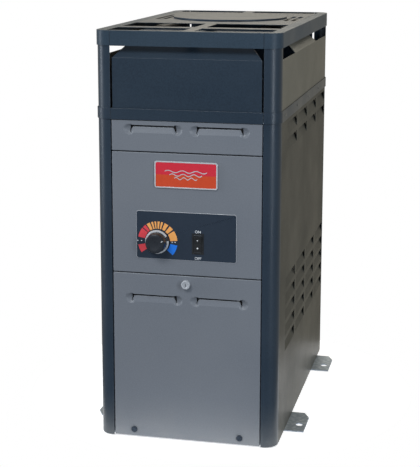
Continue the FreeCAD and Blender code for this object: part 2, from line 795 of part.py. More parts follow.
def cabinet_top():
    """The flat top inside the cap's rim: a plate with gills, ribs, and a round vent cover."""
    low, high = f"({CAP_HIGH} - sheet)", CAP_HIGH
    plate = new_body("top_plate")
    pad(plate, "top_plate_outline", "XY",
        rectangle(f"-{CAP_INSIDE}", CAP_INSIDE, TOP_START, TOP_END), low, high)
    gill_start = f"({COVER_Y} - gill_length / 2)"
    gill_end = f"({COVER_Y} + gill_length / 2)"
    for side, word in ((LEFT, "left"), (RIGHT, "right")):
        for number in range(2):
            inner = f"{CAP_INSIDE} - gill_inset + {number} * gill_pitch"
            gill_low, gill_high = between(side, inner, f"{inner} + gill_width")
            pocket(plate, f"gill_{word}_{number}", "XY",
                   rectangle(gill_low, gill_high, gill_start, gill_end), low, high)
    cover = new_body("vent_cover")
    pad_round(cover, "vent_cover_disc", "XY", [("0", COVER_Y)], f"{CAP_INSIDE} - cover_margin",
              high, f"{high} + cover_rise")
    pocket_round(cover, "vent_cover_hollow", "XY", [("0", COVER_Y)],
                 f"{CAP_INSIDE} - cover_margin - sheet", high, f"{high} + cover_rise - sheet")
    bar_start = f"({FRONT} + cross_bar_start)"
    bar_end = f"({FRONT} + cross_bar_start + cross_bar_width)"
    bars = [box("cross_bar", (f"-{CAP_INSIDE}", CAP_INSIDE), (bar_start, bar_end), (low, high))]
    stretches = (("front", f"({FRONT} + rim_front)", bar_start), ("middle", bar_end, TOP_START),
                 ("rear", TOP_END, f"({HALF_DEPTH} - rim_front)"))
    for word, near, far in stretches:
        bars.append(box(f"rib_{word}", ("-rib_width / 2", "rib_width / 2"), (near, far), (low, high)))
    finish(group("grille_bar_set", bars), "grille_bars")


def jacket_top():
    """The lid of the lower cabinet, open round the flue collector."""
    body = new_body("jacket_top")
    across = f"({HALF_WIDTH} + band_proud - sheet)"
    along = f"({HALF_DEPTH} + band_proud - sheet)"
    low, high = COLLAR_LOW, f"({COLLAR_LOW} + sheet)"
    pad(body, "jacket_outline", "XY", rectangle(f"-{across}", across, f"-{along}", along), low, high)
    corners = [(f"{a}{across}", f"{b}{along}") for a in ("-", "") for b in ("-", "")]
    round_upright(body, "jacket_corners", corners, "corner_radius + band_proud")
    pocket(body, "jacket_opening", "XY",
           rectangle(f"-{CHAMBER_HALF} + sheet", f"{CHAMBER_HALF} - sheet",
                     f"{CHAMBER_FRONT} + sheet", f"{CHAMBER_BACK} - sheet"), low, high)


# --- Controls ------------------------------------------------------------------------------

def switch_outline(margin):
    """The switch's opening, grown by a margin all round."""
    return rectangle(f"switch_across - switch_width / 2 - ({margin})",
                     f"switch_across + switch_width / 2 + ({margin})",
                     f"{SWITCH_Z} - switch_height / 2 - ({margin})",
                     f"{SWITCH_Z} + switch_height / 2 + ({margin})")


def control_plate():
    """The dark plate behind the knob and the switch."""
    body = new_body("control_plate")
    back, front = FRONT, f"({FRONT} - plate_thickness)"
    outline = rectangle("-plate_width / 2", "plate_width / 2",
                        f"{PLATE_Z} - plate_height / 2", f"{PLATE_Z} + plate_height / 2")
    pad(body, "plate_outline", "XZ", outline, front, back)
    pocket_round(body, "plate_shaft_hole", "XZ", [(DIAL_X, DIAL_Z)],
                 "shaft_radius + shaft_hole_clearance", front, back)
    pocket(body, "plate_switch_hole", "XZ", switch_outline("switch_rim"), front, back)


def badge():
    """A blank name plate: a raised frame round a recessed field."""
    body = new_body("badge")
    low, high = f"({BADGE_Z} - badge_height / 2)", f"({BADGE_Z} + badge_height / 2)"
    face = f"({FRONT} - badge_thickness)"
    pad(body, "badge_outline", "XZ", rectangle("-badge_width / 2", "badge_width / 2", low, high), face, FRONT)
    pocket(body, "badge_field", "XZ",
           rectangle("-badge_width / 2 + badge_frame", "badge_width / 2 - badge_frame",
                     f"{low} + badge_frame", f"{high} - badge_frame"),
           face, f"{face} + badge_recess")


def knob():
    """The thermostat knob: a round fluted grip on a wider skirt, bored for its shaft."""
    body = new_body("thermostat_knob")
    skirt_face = f"({KNOB_BACK} - knob_skirt_height)"
    grip_face = f"({KNOB_BACK} - knob_height)"
    centre = [(DIAL_X, DIAL_Z)]
    skirt = pad_round(body, "knob_skirt", "XZ", centre, "knob_skirt_radius", skirt_face, KNOB_BACK)
    pad_round(body, "knob_grip", "XZ", centre, "knob_grip_radius", grip_face, skirt_face)
    pocket_round(body, "knob_bore", "XZ", centre, "shaft_radius",
                 f"{KNOB_BACK} - knob_bore_depth", KNOB_BACK)
    flute = pocket_round(body, "knob_flute", "XZ", [(DIAL_X, f"{DIAL_Z} + knob_grip_radius + flute_offset")],
                         "flute_radius", grip_face, skirt_face)
    ring = body.newObject("PartDesign::PolarPattern", "knob_flutes")
    ring.Originals = [flute]
    ring.Axis = (skirt.Profile[0], ["N_Axis"])
    ring.Angle = 360
    ring.Occurrences = int(value("flute_count"))
    body.Tip = ring


def thermostat():
    """Thermostat body behind the panel and the shaft that the knob turns."""
    half = "(thermostat_size / 2)"
    front = f"({FRONT} + sheet)"
    body = new_body("thermostat_body")
    pad(body, "thermostat_case", "XZ",
        rectangle(f"{DIAL_X} - {half}", f"{DIAL_X} + {half}", f"{DIAL_Z} - {half}", f"{DIAL_Z} + {half}"),
        front, f"{front} + thermostat_depth")
    pocket_round(body, "thermostat_bush", "XZ", [(DIAL_X, DIAL_Z)], "shaft_radius + shaft_clearance",
                 front, f"{front} + thermostat_depth / 2")
    shaft = new_body("thermostat_shaft")
    pad_round(shaft, "shaft_round", "XZ", [(DIAL_X, DIAL_Z)], "shaft_radius",
              f"{KNOB_BACK} - knob_bore_depth", f"{front} + thermostat_depth / 2 - 1")


def switch():
    """Rocker switch: a housing with a rim, and a rocker that tips about a level axis."""
    body = new_body("switch_body")
    plate_face = f"({FRONT} - plate_thickness)"
    rim_face = f"({plate_face} - bezel_thickness)"
    back = f"({FRONT} + switch_depth)"
    pad(body, "switch_case", "XZ", switch_outline("switch_rim - switch_clearance"), rim_face, back)
    pad(body, "switch_bezel", "XZ", switch_outline("switch_rim + switch_bezel"), rim_face, plate_face)
    pocket(body, "switch_well", "XZ", switch_outline("0"), rim_face, f"{FRONT} + switch_depth / 2")
    pivot_y = f"({FRONT} - plate_thickness + rocker_pivot_depth)"
    reach = "(switch_width / 2 + trunnion_reach)"
    pocket_round(body, "trunnion_sockets", "YZ", [(pivot_y, SWITCH_Z)],
                 "trunnion_radius + trunnion_clearance",
                 f"switch_across - {reach} - trunnion_clearance",
                 f"switch_across + {reach} + trunnion_clearance")
    rocker = new_body("switch_rocker")
    half = "(switch_height / 2 - rocker_end_clearance)"
    tilt_sine, tilt_cosine = "sin(rocker_tilt)", "cos(rocker_tilt)"

    def tipped(forward, up):
        """A point of the rocker's section after it has tipped about its pivot."""
        along = f"({pivot_y} - ({forward}) * {tilt_cosine} - ({up}) * {tilt_sine})"
        above = f"({SWITCH_Z} + ({up}) * {tilt_cosine} - ({forward}) * {tilt_sine})"
        return along, above

    pad(rocker, "rocker_section", "YZ", [
        tipped("-3", f"{half} - 4"),
        tipped("-3", f"-{half} + 4"),
        tipped("1", f"-{half}"),
        tipped("7.5", f"-{half}"),
        tipped("5", "0"),
        tipped("7.5", half),
        tipped("1", half),
    ], "switch_across - switch_width / 2 + rocker_clearance",
        "switch_across + switch_width / 2 - rocker_clearance")
    pad_round(rocker, "rocker_trunnions", "YZ", [(pivot_y, SWITCH_Z)], "trunnion_radius",
              f"switch_across - {reach}", f"switch_across + {reach}")


def door_lock():
    """Door lock: a barrel through the door, and a plug that turns in it with a cam on its tail."""
    centre = [("0", LOCK_Z)]
    barrel = new_body("lock_barrel")
    flange_face = f"({FRONT} - lock_proud)"
    barrel_back = f"({FRONT} + lock_body_depth)"
    pad_round(barrel, "lock_flange", "XZ", centre, "lock_radius", flange_face, FRONT)
    pad_round(barrel, "lock_stem", "XZ", centre, "lock_body_radius", FRONT, barrel_back)
    pocket_round(barrel, "lock_bore", "XZ", centre, "plug_radius + plug_clearance",
                 flange_face, barrel_back)
    plug = new_body("lock_plug")
    plug_face = f"({flange_face} + plug_recess)"
    cam_front = f"({barrel_back} + cam_gap)"
    pad_round(plug, "plug_round", "XZ", centre, "plug_radius", plug_face, cam_front)
    pocket(plug, "key_slot", "XZ",
           rectangle("-key_slot_width / 2", "key_slot_width / 2",
                     f"{LOCK_Z} - key_slot_height / 2", f"{LOCK_Z} + key_slot_height / 2"),
           plug_face, f"{plug_face} + key_slot_depth")
    pad(plug, "cam_outline", "XZ",
        rectangle("-cam_length", "cam_width / 2", f"{LOCK_Z} - cam_width / 2", f"{LOCK_Z} + cam_width / 2"),
        cam_front, f"{cam_front} + cam_thickness")


def screw_row(name, places, head_radius, shank_radius, head, shank):
    """Screws that look along -Y, each place an X and a Z, heads on the front plane."""
    solids = []
    for number, (x, z) in enumerate(places):
        cap = cylinder(f"{name}_head_{number}", "Y", (x, f"{FRONT} - ({head})", z), head, head_radius)
        stem = cylinder(f"{name}_stem_{number}", "Y", (x, FRONT, z), shank, shank_radius)
        solids.append(joined(f"{name}_{number}", [cap, stem]))
    finish(group(name, solids), name)


def rivets():
    """Rivets along the collar on both sides."""
    solids = []
    for side, word in ((LEFT, "left"), (RIGHT, "right")):
        start, _ = between(side, f"{HALF_WIDTH} + band_proud", f"{HALF_WIDTH} + band_proud + rivet_head")
        for number in range(int(value("rivet_count"))):
            along = (f"({FRONT} + rivet_front + {number} * (cabinet_depth - rivet_front - rivet_rear)"
                     " / (rivet_count - 1))")
            solids.append(cylinder(f"rivet_{word}_{number}", "X",
                                   (start, along, f"{COLLAR_LOW} + collar_height / 2"),
                                   "rivet_head", "rivet_radius"))
    finish(group("collar_rivets", solids), "collar_rivets")


# --- Burners, gas train and heat exchanger -------------------------------------------------

def chamber():
    """Four refractory panels round the fire: the long ones stand on the base pan."""
    floor = f"({DECK} + sheet)"
    sides = []
    for side, word in ((LEFT, "left"), (RIGHT, "right")):
        across = between(side, CHAMBER_INNER, CHAMBER_HALF)
        sides.append(box(f"chamber_{word}", across, (CHAMBER_FRONT, CHAMBER_BACK), (floor, "chamber_top")))
    for word, near, far in (("front", CHAMBER_FRONT, f"{CHAMBER_FRONT} + chamber_wall"),
                            ("rear", f"{CHAMBER_BACK} - chamber_wall", CHAMBER_BACK)):
        sides.append(box(f"chamber_{word}", (f"-{CHAMBER_INNER}", CHAMBER_INNER), (near, far),
                         (f"{BURNER_Z} + burner_radius + burner_headroom", "chamber_top")))
    finish(group("chamber_panels", sides), "chamber_panels")


def burner_places():
    """Where each burner lies across the chamber."""
    count = int(value("burner_count"))
    return [f"(({number} - (burner_count - 1) / 2) * {BURNER_PITCH})" for number in range(count)]


def burners():
    """The burner tray and the row of burner tubes that lie in it."""
    tray = box("burner_tray_plate", (f"-{CHAMBER_INNER}", CHAMBER_INNER), (CHAMBER_FRONT, CHAMBER_BACK),
               ("burner_deck - sheet", "burner_deck"))
    finish(tray, "burner_tray")
    tubes = []
    start = f"({CHAMBER_FRONT} + burner_setback)"
    length = f"({CHAMBER_LENGTH} - 2 * burner_setback)"
    for number, x in enumerate(burner_places()):
        outer = cylinder(f"burner_outer_{number}", "Y", (x, start, BURNER_Z), length, "burner_radius")
        inside = cylinder(f"burner_inner_{number}", "Y", (x, start, BURNER_Z), f"{length} - burner_head",
                          "burner_radius - sheet")
        tubes.append(minus(f"burner_{number}", outer, inside))
    finish(group("burner_tubes", tubes), "burner_tubes")


def gas_train():
    """Manifold with its spuds, gas valve, valve knob, and the supply pipe from the left side."""
    half = f"({BURNER_PITCH} * burner_count / 2)"
    pieces = [cylinder("manifold_pipe", "X", (f"-{half}", MANIFOLD_Y, BURNER_Z), f"2 * {half}",
                       "manifold_radius")]
    for number, x in enumerate(burner_places()):
        pieces.append(cylinder(f"spud_{number}", "Y", (x, MANIFOLD_Y, BURNER_Z),
                               "manifold_radius + spud_length", "spud_radius"))
    feed_start = f"({VALVE_FRONT} + valve_depth)"
    pieces.append(cylinder("manifold_feed", "Y", ("valve_across", feed_start, BURNER_Z),
                           f"{MANIFOLD_Y} - {feed_start}", "feed_radius"))
    for side, word in ((LEFT, "left"), (RIGHT, "right")):
        across = between(side, f"{half} - bracket_width", half)
        pieces.append(box(f"manifold_bracket_{word}", across, (MANIFOLD_Y, f"{MANIFOLD_Y} + 2 * sheet"),
                          (f"{DECK} + sheet", BURNER_Z)))
    finish(joined("manifold_joined", pieces), "gas_manifold")

    valve = new_body("gas_valve")
    left, right = "(valve_across - valve_width / 2)", "(valve_across + valve_width / 2)"
    low, high = f"({BURNER_Z} - valve_height / 2)", f"({BURNER_Z} + valve_height / 2)"
    pad(valve, "valve_block", "XZ", rectangle(left, right, low, high),
        VALVE_FRONT, f"{VALVE_FRONT} + valve_depth")
    pad_round(valve, "valve_tower", "XY", [("valve_across", GAS_Y)], "tower_radius",
              high, f"{high} + tower_height")
    handle = new_body("gas_valve_knob")
    face = f"({VALVE_FRONT} - valve_knob_gap)"
    pad_round(handle, "valve_knob_round", "XZ", [("valve_across", BURNER_Z)], "valve_knob_radius",
              f"{face} - valve_knob_height / 2", face)
    pad(handle, "valve_knob_bar", "XZ",
        rectangle("valve_across - valve_knob_bar / 2", "valve_across + valve_knob_bar / 2",
                  f"{BURNER_Z} - valve_knob_radius + 1", f"{BURNER_Z} + valve_knob_radius - 1"),
        f"{face} - valve_knob_height", f"{face} - valve_knob_height / 2")

    outer_end = f"(-{HALF_WIDTH} - gas_socket_proud)"
    run = f"{left} - {outer_end} - gas_socket_depth"
    inner_end = f"({outer_end} + gas_socket_depth)"
    tube = cylinder("gas_tube", "X", (inner_end, GAS_Y, BURNER_Z), run, "gas_pipe_radius")
    socket = cylinder("gas_socket", "X", (outer_end, GAS_Y, BURNER_Z),
                      "gas_socket_depth", "gas_socket_radius")
    bore = cylinder("gas_bore", "X", (outer_end, GAS_Y, BURNER_Z), f"{run} + gas_socket_depth",
                    "gas_pipe_radius - gas_pipe_wall")
    thread = cylinder("gas_thread", "X", (outer_end, GAS_Y, BURNER_Z), "gas_socket_depth", "gas_pipe_radius")
    solid = joined("gas_pipe_outside", [tube, socket])
    hollow = joined("gas_pipe_inside", [bore, thread])
    finish(minus("gas_supply_pipe", solid, hollow), "gas_supply_pipe")


def exchanger():
    """Finned copper tubes between a return header in front and a ported header behind."""
    tubes = []
    count = int(value("tube_count"))
    places = [f"(({number} - (tube_count - 1) / 2) * {TUBE_PITCH})" for number in range(count)]
    for number, x in enumerate(places):
        outer = cylinder(f"tube_outer_{number}", "Y", (x, CHAMBER_FRONT, TUBE_Z),
                         CHAMBER_LENGTH, "tube_radius")
        inner = cylinder(f"tube_inner_{number}", "Y", (x, CHAMBER_FRONT, TUBE_Z), CHAMBER_LENGTH,
                         "tube_radius - tube_wall")
        tubes.append(minus(f"tube_{number}", outer, inner))
    body = helper_body("exchanger_fin")
    half = f"({CHAMBER_HALF} - fin_inset)"
    fin_start = f"({CHAMBER_FRONT} + fin_margin)"
    pad(body, "fin_sheet", "XZ",
        rectangle(f"-{half}", half, f"{TUBE_Z} - fin_height / 2", f"{TUBE_Z} + fin_height / 2"),
        fin_start, f"{fin_start} + fin_thickness")
    pocket_round(body, "fin_holes", "XZ", [(x, TUBE_Z) for x in places], "tube_radius",
                 fin_start, f"{fin_start} + fin_thickness")
    doc.recompute()
    stack = doc.addObject("Part::Feature", "fin_stack")
    step = FreeCAD.Vector(0, value(FIN_PITCH), 0)
    fins = []
    for number in range(int(value("fin_count"))):
        fin = body.Shape.copy()
        fin.translate(step * number)
        fins.append(fin)
    stack.Shape = Part.makeCompound(fins)
    finish(group("finned_tube_bank", tubes + [stack]), "finned_tubes")

    half = CHAMBER_HALF
    front = new_body("return_header")
    pad(front, "return_block", "XZ", rectangle(f"-{half}", half, HEADER_LOW, HEADER_HIGH),
        f"{CHAMBER_FRONT} - header_depth", CHAMBER_FRONT)
    pocket_round(front, "return_ports", "XZ", [(x, TUBE_Z) for x in places], "tube_radius - tube_wall",
                 f"{CHAMBER_FRONT} - header_depth / 2", CHAMBER_FRONT)
    rear = new_body("water_header")
    rear_face = f"({CHAMBER_BACK} + header_depth)"
    pad(rear, "water_block", "XZ", rectangle(f"-{half}", half, HEADER_LOW, HEADER_HIGH),
        CHAMBER_BACK, rear_face)
    pocket_round(rear, "water_tube_ports", "XZ", [(x, TUBE_Z) for x in places], "tube_radius - tube_wall",
                 CHAMBER_BACK, f"{CHAMBER_BACK} + header_depth / 2")
    ports = [("-water_spacing / 2", TUBE_Z), ("water_spacing / 2", TUBE_Z)]
    pocket_round(rear, "water_ports", "XZ", ports, "water_passage",
                 f"{CHAMBER_BACK} + header_depth / 2", rear_face)
    unions = []
    for side, word in ((LEFT, "inlet"), (RIGHT, "outlet")):
        x = mirrored(side, "water_spacing / 2")
        union = helper_body(f"water_{word}_union")
        unions.append(union)
        pad_round(union, f"{word}_round", "XZ", [(x, TUBE_Z)], "union_radius - 4", rear_face, UNION_END)
        pad_round(union, f"{word}_nut", "XZ", [(x, TUBE_Z)], "union_radius",
                  f"{UNION_END} - water_socket_depth", UNION_END)
        pocket_round(union, f"{word}_passage", "XZ", [(x, TUBE_Z)], "water_passage", rear_face, UNION_END)
        pocket_round(union, f"{word}_socket", "XZ", [(x, TUBE_Z)], "water_bore",
                     f"{UNION_END} - water_socket_depth", UNION_END)
    finish(group("union_pair", unions), "water_unions")


def flue_collector():
    """The open-ended box that leads the flue gas from the tubes up to the hood."""
    body = new_body("flue_collector")
    low, high = HEADER_HIGH, COLLAR_HIGH
    pad(body, "collector_outline", "XY",
        rectangle(f"-{CHAMBER_HALF} + sheet", f"{CHAMBER_HALF} - sheet",
                  f"{CHAMBER_FRONT} + sheet", f"{CHAMBER_BACK} - sheet"), low, high)
    pocket(body, "collector_flue", "XY",
           rectangle(f"-{CHAMBER_HALF} + 2 * sheet", f"{CHAMBER_HALF} - 2 * sheet",
                     f"{CHAMBER_FRONT} + 2 * sheet", f"{CHAMBER_BACK} - 2 * sheet"), low, high)


def electrics():
    """Partition behind the controls, with the ignition module and the transformer on it."""
    body = new_body("control_partition")
    across = f"({HALF_WIDTH} - sheet)"
    pad(body, "partition_sheet", "XZ",
        rectangle(f"-{across}", across, CONTROL_LOW, f"{COLLAR_LOW} - panel_gap"),
        PARTITION_Y, f"{PARTITION_Y} + sheet")
    module_low = f"({CONTROL_LOW} + module_rise)"
    module = box("module_case", ("module_across - module_width / 2", "module_across + module_width / 2"),
                 (f"{PARTITION_Y} - module_depth", PARTITION_Y),
                 (module_low, f"{module_low} + module_height"))
    finish(module, "ignition_module")
    core_low = f"({CONTROL_LOW} + transformer_rise)"
    core = box("transformer_core",
               ("-transformer_across - transformer_size / 2", "-transformer_across + transformer_size / 2"),
               (f"{PARTITION_Y} - transformer_size", PARTITION_Y),
               (core_low, f"{core_low} + transformer_size"))
    finish(core, "transformer")


def cable_gland():
    """The gland in the left side where the supply cable would enter."""
    place = (f"{FRONT} + gland_distance", f"{CONTROL_LOW} + gland_rise")
    body = new_body("cable_gland")
    face = f"(-{HALF_WIDTH})"
    pad_round(body, "gland_nut", "YZ", [place], "gland_radius", f"{face} - gland_proud", face)
    pad_round(body, "gland_stem_round", "YZ", [place], "gland_stem_radius", face, f"{face} + gland_stem")
    pocket_round(body, "gland_hole", "YZ", [place], "gland_bore",
                 f"{face} - gland_proud", f"{face} + gland_stem")


# --- Assembly ------------------------------------------------------------------------------

straps = [anchor_strap("anchor_strap_front", FRONT_END), anchor_strap("anchor_strap_rear", REAR_END)]
finish(group("anchor_strap_pair", straps), "anchor_straps")
base_pan()
front_frame()
for end, end_word in ((FRONT_END, "front"), (REAR_END, "rear")):
    for side, side_word in ((LEFT, "left"), (RIGHT, "right")):
        corner_post(f"lower_post_{end_word}_{side_word}", side, end, DECK, COLLAR_LOW)
        corner_post(f"upper_post_{end_word}_{side_word}", side, end, f"({COLLAR_LOW} + sheet)",
                    f"({CAP_HIGH} - sheet)")
for side, side_word in ((LEFT, "left"), (RIGHT, "right")):
    collar_side(f"collar_{side_word}", side)
    cap_side(f"cap_{side_word}", side)
    side_panel(f"side_panel_{side_word}", side)
collar_rails()
cap_rail("cap_front", FRONT_END)
cap_rail("cap_rear", REAR_END)
rear_panel()
hood()
cabinet_top()
jacket_top()
vent_panel()
control_panel()
door()
control_plate()
badge()
knob()
thermostat()
switch()
door_lock()
screw_row("door_screws", DOOR_SCREWS, "door_screw_radius", "door_screw_shank",
          "door_screw_head", "panel_depth")
rivets()
chamber()
burners()
gas_train()
exchanger()
flue_collector()
electrics()
cable_gland()
doc.recompute()

failed = [thing.Label for thing in doc.Objects if {"Invalid", "Error"} & set(thing.State)]
if failed:
    raise RuntimeError(f"objects that did not compute: {failed}")
for piece in PIECES:
    if piece.Shape.isNull() or not piece.Shape.isValid():
        raise RuntimeError(f"{piece.Label} has no valid shape")

os.makedirs("parts", exist_ok=True)
for piece in PIECES:
    piece.Shape.exportStep(f"parts/{piece.Label}.step")
print(len(PIECES), "pieces written")
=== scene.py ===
"""Looks of the gas pool heater: sheet-metal skins, louvres, controls, finishes, light and camera."""
import json
import math

import bmesh
import bpy
from mathutils import Matrix, Vector


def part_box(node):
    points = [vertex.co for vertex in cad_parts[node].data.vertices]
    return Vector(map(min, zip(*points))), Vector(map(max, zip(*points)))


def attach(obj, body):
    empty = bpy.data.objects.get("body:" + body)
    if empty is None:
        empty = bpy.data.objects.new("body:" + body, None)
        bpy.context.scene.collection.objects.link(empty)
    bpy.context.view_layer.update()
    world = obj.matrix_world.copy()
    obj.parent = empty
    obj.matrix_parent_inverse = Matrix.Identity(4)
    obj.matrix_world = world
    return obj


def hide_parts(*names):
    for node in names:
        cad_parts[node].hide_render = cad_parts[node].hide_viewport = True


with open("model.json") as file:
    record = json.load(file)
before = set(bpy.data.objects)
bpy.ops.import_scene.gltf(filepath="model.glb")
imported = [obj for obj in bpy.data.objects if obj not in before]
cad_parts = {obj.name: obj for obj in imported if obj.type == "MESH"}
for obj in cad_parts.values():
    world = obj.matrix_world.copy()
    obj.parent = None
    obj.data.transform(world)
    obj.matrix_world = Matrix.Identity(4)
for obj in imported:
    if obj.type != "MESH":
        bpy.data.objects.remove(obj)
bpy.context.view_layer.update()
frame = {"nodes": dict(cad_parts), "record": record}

MM = 0.001
SHEET = 1.2 * MM
NEARLY_NOTHING = 0.01 * MM
SOFT_EDGE = 0.8 * MM
FLOOR_RADIUS = 0.44
SCENE = bpy.context.scene
SLOT_OF = {part["node"]: part["material_slot"] for part in frame["record"]["subparts"]}
BODY_OF = {node: body for body, nodes in frame["record"]["behaviour"]["bodies"].items() for node in nodes}


# --- Finishes ------------------------------------------------------------------------------

class Finish:
    """A node material under construction, with Object coordinates at hand."""

    def __init__(self, name):
        self.material = bpy.data.materials.new(name)
        self.material.use_nodes = True
        self.nodes = self.material.node_tree.nodes
        self.links = self.material.node_tree.links
        self.shader = self.nodes["Principled BSDF"]
        self.place = self.nodes.new("ShaderNodeTexCoord").outputs["Object"]

    def link(self, source, target):
        self.links.new(source, target)

    def set(self, **sockets):
        for name, value in sockets.items():
            self.shader.inputs[name.replace("_", " ")].default_value = value

    def noise(self, scale, detail=3.0, roughness=0.5):
        node = self.nodes.new("ShaderNodeTexNoise")
        node.inputs["Scale"].default_value = scale
        node.inputs["Detail"].default_value = detail
        node.inputs["Roughness"].default_value = roughness
        self.link(self.place, node.inputs["Vector"])
        return node.outputs["Fac"]

    def spread(self, source, low, high, to_low=0.0, to_high=1.0):
        """Map a range of the source onto another range."""
        node = self.nodes.new("ShaderNodeMapRange")
        for name, value in (("From Min", low), ("From Max", high), ("To Min", to_low), ("To Max", to_high)):
            node.inputs[name].default_value = value
        self.link(source, node.inputs["Value"])
        return node.outputs["Result"]

    def blend(self, factor, first, second):
        """Mix two colours, each a socket or a plain colour."""
        node = self.nodes.new("ShaderNodeMix")
        node.data_type = "RGBA"
        for socket, value in ((node.inputs[6], first), (node.inputs[7], second)):
            if hasattr(value, "is_output"):
                self.link(value, socket)
            else:
                socket.default_value = (*value, 1.0)
        if hasattr(factor, "is_output"):
            self.link(factor, node.inputs[0])
        else:
            node.inputs[0].default_value = factor
        return node.outputs[2]

    def combine(self, operation, first, second):
        node = self.nodes.new("ShaderNodeMath")
        node.operation = operation
        for socket, value in zip(node.inputs, (first, second)):
            if hasattr(value, "is_output"):
                self.link(value, socket)
            else:
                socket.default_value = value
        return node.outputs[0]

    def height_up(self):
        split = self.nodes.new("ShaderNodeSeparateXYZ")
        self.link(self.place, split.inputs[0])
        return split.outputs["Z"]

    def edges(self, radius):
        """Light along edges, as rubbed paint and as a painted edge highlight: how far a rounded normal turns
        from the true one.
        """
        soft = self.nodes.new("ShaderNodeBevel")
        soft.samples = 4
        soft.inputs["Radius"].default_value = radius
        true = self.nodes.new("ShaderNodeNewGeometry")
        dot = self.nodes.new("ShaderNodeVectorMath")
        dot.operation = "DOT_PRODUCT"
        self.link(soft.outputs[0], dot.inputs[0])
        self.link(true.outputs["Normal"], dot.inputs[1])
        return self.spread(dot.outputs["Value"], 0.985, 0.86)

    def bump(self, source, strength, distance):
        node = self.nodes.new("ShaderNodeBump")
        node.inputs["Strength"].default_value = strength
        node.inputs["Distance"].default_value = distance
        self.link(source, node.inputs["Height"])
        self.link(node.outputs["Normal"], self.shader.inputs["Normal"])


# Pale grey for rubbed edges, also used as a painted edge highlight.
RUBBED_AND_EDGE_HIGHLIGHT = (0.42, 0.44, 0.46)
DUST = (0.34, 0.32, 0.28)


def paint(name, colour, light, rough=(0.36, 0.5), fleck=0.16, wear_and_highlight=0.35, dust=0.25, specular=0.22):
    """Powder coat: flecked colour, fine orange peel, slight cloudiness, dust low down, rubbed edges that also
    carry a painted edge highlight.
    """
    f = Finish(name)
    f.set(Specular_IOR_Level=specular)
    cloud = f.noise(7.0, 4.0)
    peel = f.noise(1500.0, 2.0)
    flecks = f.spread(f.noise(380.0, 4.0, 0.7), 0.35, 0.65)
    darker = [c * (1.0 - fleck) for c in colour]
    lighter = [c * (1.0 + 1.5 * fleck) for c in colour]
    tint = f.blend(flecks, darker, lighter)
    tint = f.blend(f.spread(cloud, 0.3, 0.75, 0.0, 0.35), tint, light)
    scuff_and_highlight = f.combine("MULTIPLY", f.spread(f.noise(60.0, 5.0, 0.7), 0.5, 0.75), wear_and_highlight)
    # Edges lightened towards pale grey: partly rubbed paint, partly a painted edge highlight.
    tint = f.blend(f.combine("MULTIPLY", f.edges(1.4 * MM), scuff_and_highlight), tint, RUBBED_AND_EDGE_HIGHLIGHT)
    low = f.spread(f.height_up(), 0.10, 0.0, 0.0, dust)
    tint = f.blend(f.combine("MULTIPLY", low, f.noise(25.0, 4.0)), tint, DUST)
    f.link(tint, f.shader.inputs["Base Color"])
    f.link(f.spread(cloud, 0.3, 0.7, *rough), f.shader.inputs["Roughness"])
    f.bump(peel, 0.22, 0.15 * MM)
    return f.material


def bare_metal(name, dark, light, metallic, rough, spangle=120.0):
    """Bare or plated metal with spangle, stains and uneven polish."""
    f = Finish(name)
    f.set(Metallic=metallic)
    crystal = f.nodes.new("ShaderNodeTexVoronoi")
    crystal.inputs["Scale"].default_value = spangle
    f.link(f.place, crystal.inputs["Vector"])
    stain = f.noise(14.0, 5.0, 0.6)
    tint = f.blend(f.spread(crystal.outputs["Distance"], 0.05, 0.6), light, dark)
    tint = f.blend(f.spread(stain, 0.42, 0.75, 0.0, 0.6), tint, [c * 0.6 for c in dark])
    f.link(tint, f.shader.inputs["Base Color"])
    f.link(f.spread(stain, 0.3, 0.7, *rough), f.shader.inputs["Roughness"])
    f.bump(crystal.outputs["Distance"], 0.12, 0.1 * MM)
    return f.material


def moulded(name, colour, rough=(0.3, 0.45)):
    """Moulded plastic with a fine spark texture and finger marks."""
    f = Finish(name)
    spark = f.noise(900.0, 2.0)
    mark = f.noise(38.0, 4.0, 0.6)
    tint = f.blend(f.spread(spark, 0.35, 0.65), [c * 0.8 for c in colour], [c * 1.25 for c in colour])
    tint = f.blend(f.spread(mark, 0.5, 0.8, 0.0, 0.3), tint, [min(1.0, c * 1.6 + 0.01) for c in colour])
    f.link(tint, f.shader.inputs["Base Color"])
    f.link(f.spread(mark, 0.35, 0.7, *rough), f.shader.inputs["Roughness"])
    f.bump(spark, 0.15, 0.08 * MM)
    return f.material


def printed(name, colour, rough=0.45):
    """Ink printed on a plate: slightly mottled, thin at the grain."""
    f = Finish(name)
    mottle = f.noise(500.0, 3.0)
    tint = f.blend(f.spread(mottle, 0.3, 0.7), [c * 0.88 for c in colour], colour)
    f.link(tint, f.shader.inputs["Base Color"])
    f.link(f.spread(mottle, 0.3, 0.7, rough - 0.07, rough + 0.07), f.shader.inputs["Roughness"])
    f.bump(mottle, 0.08, 0.05 * MM)
    return f.material


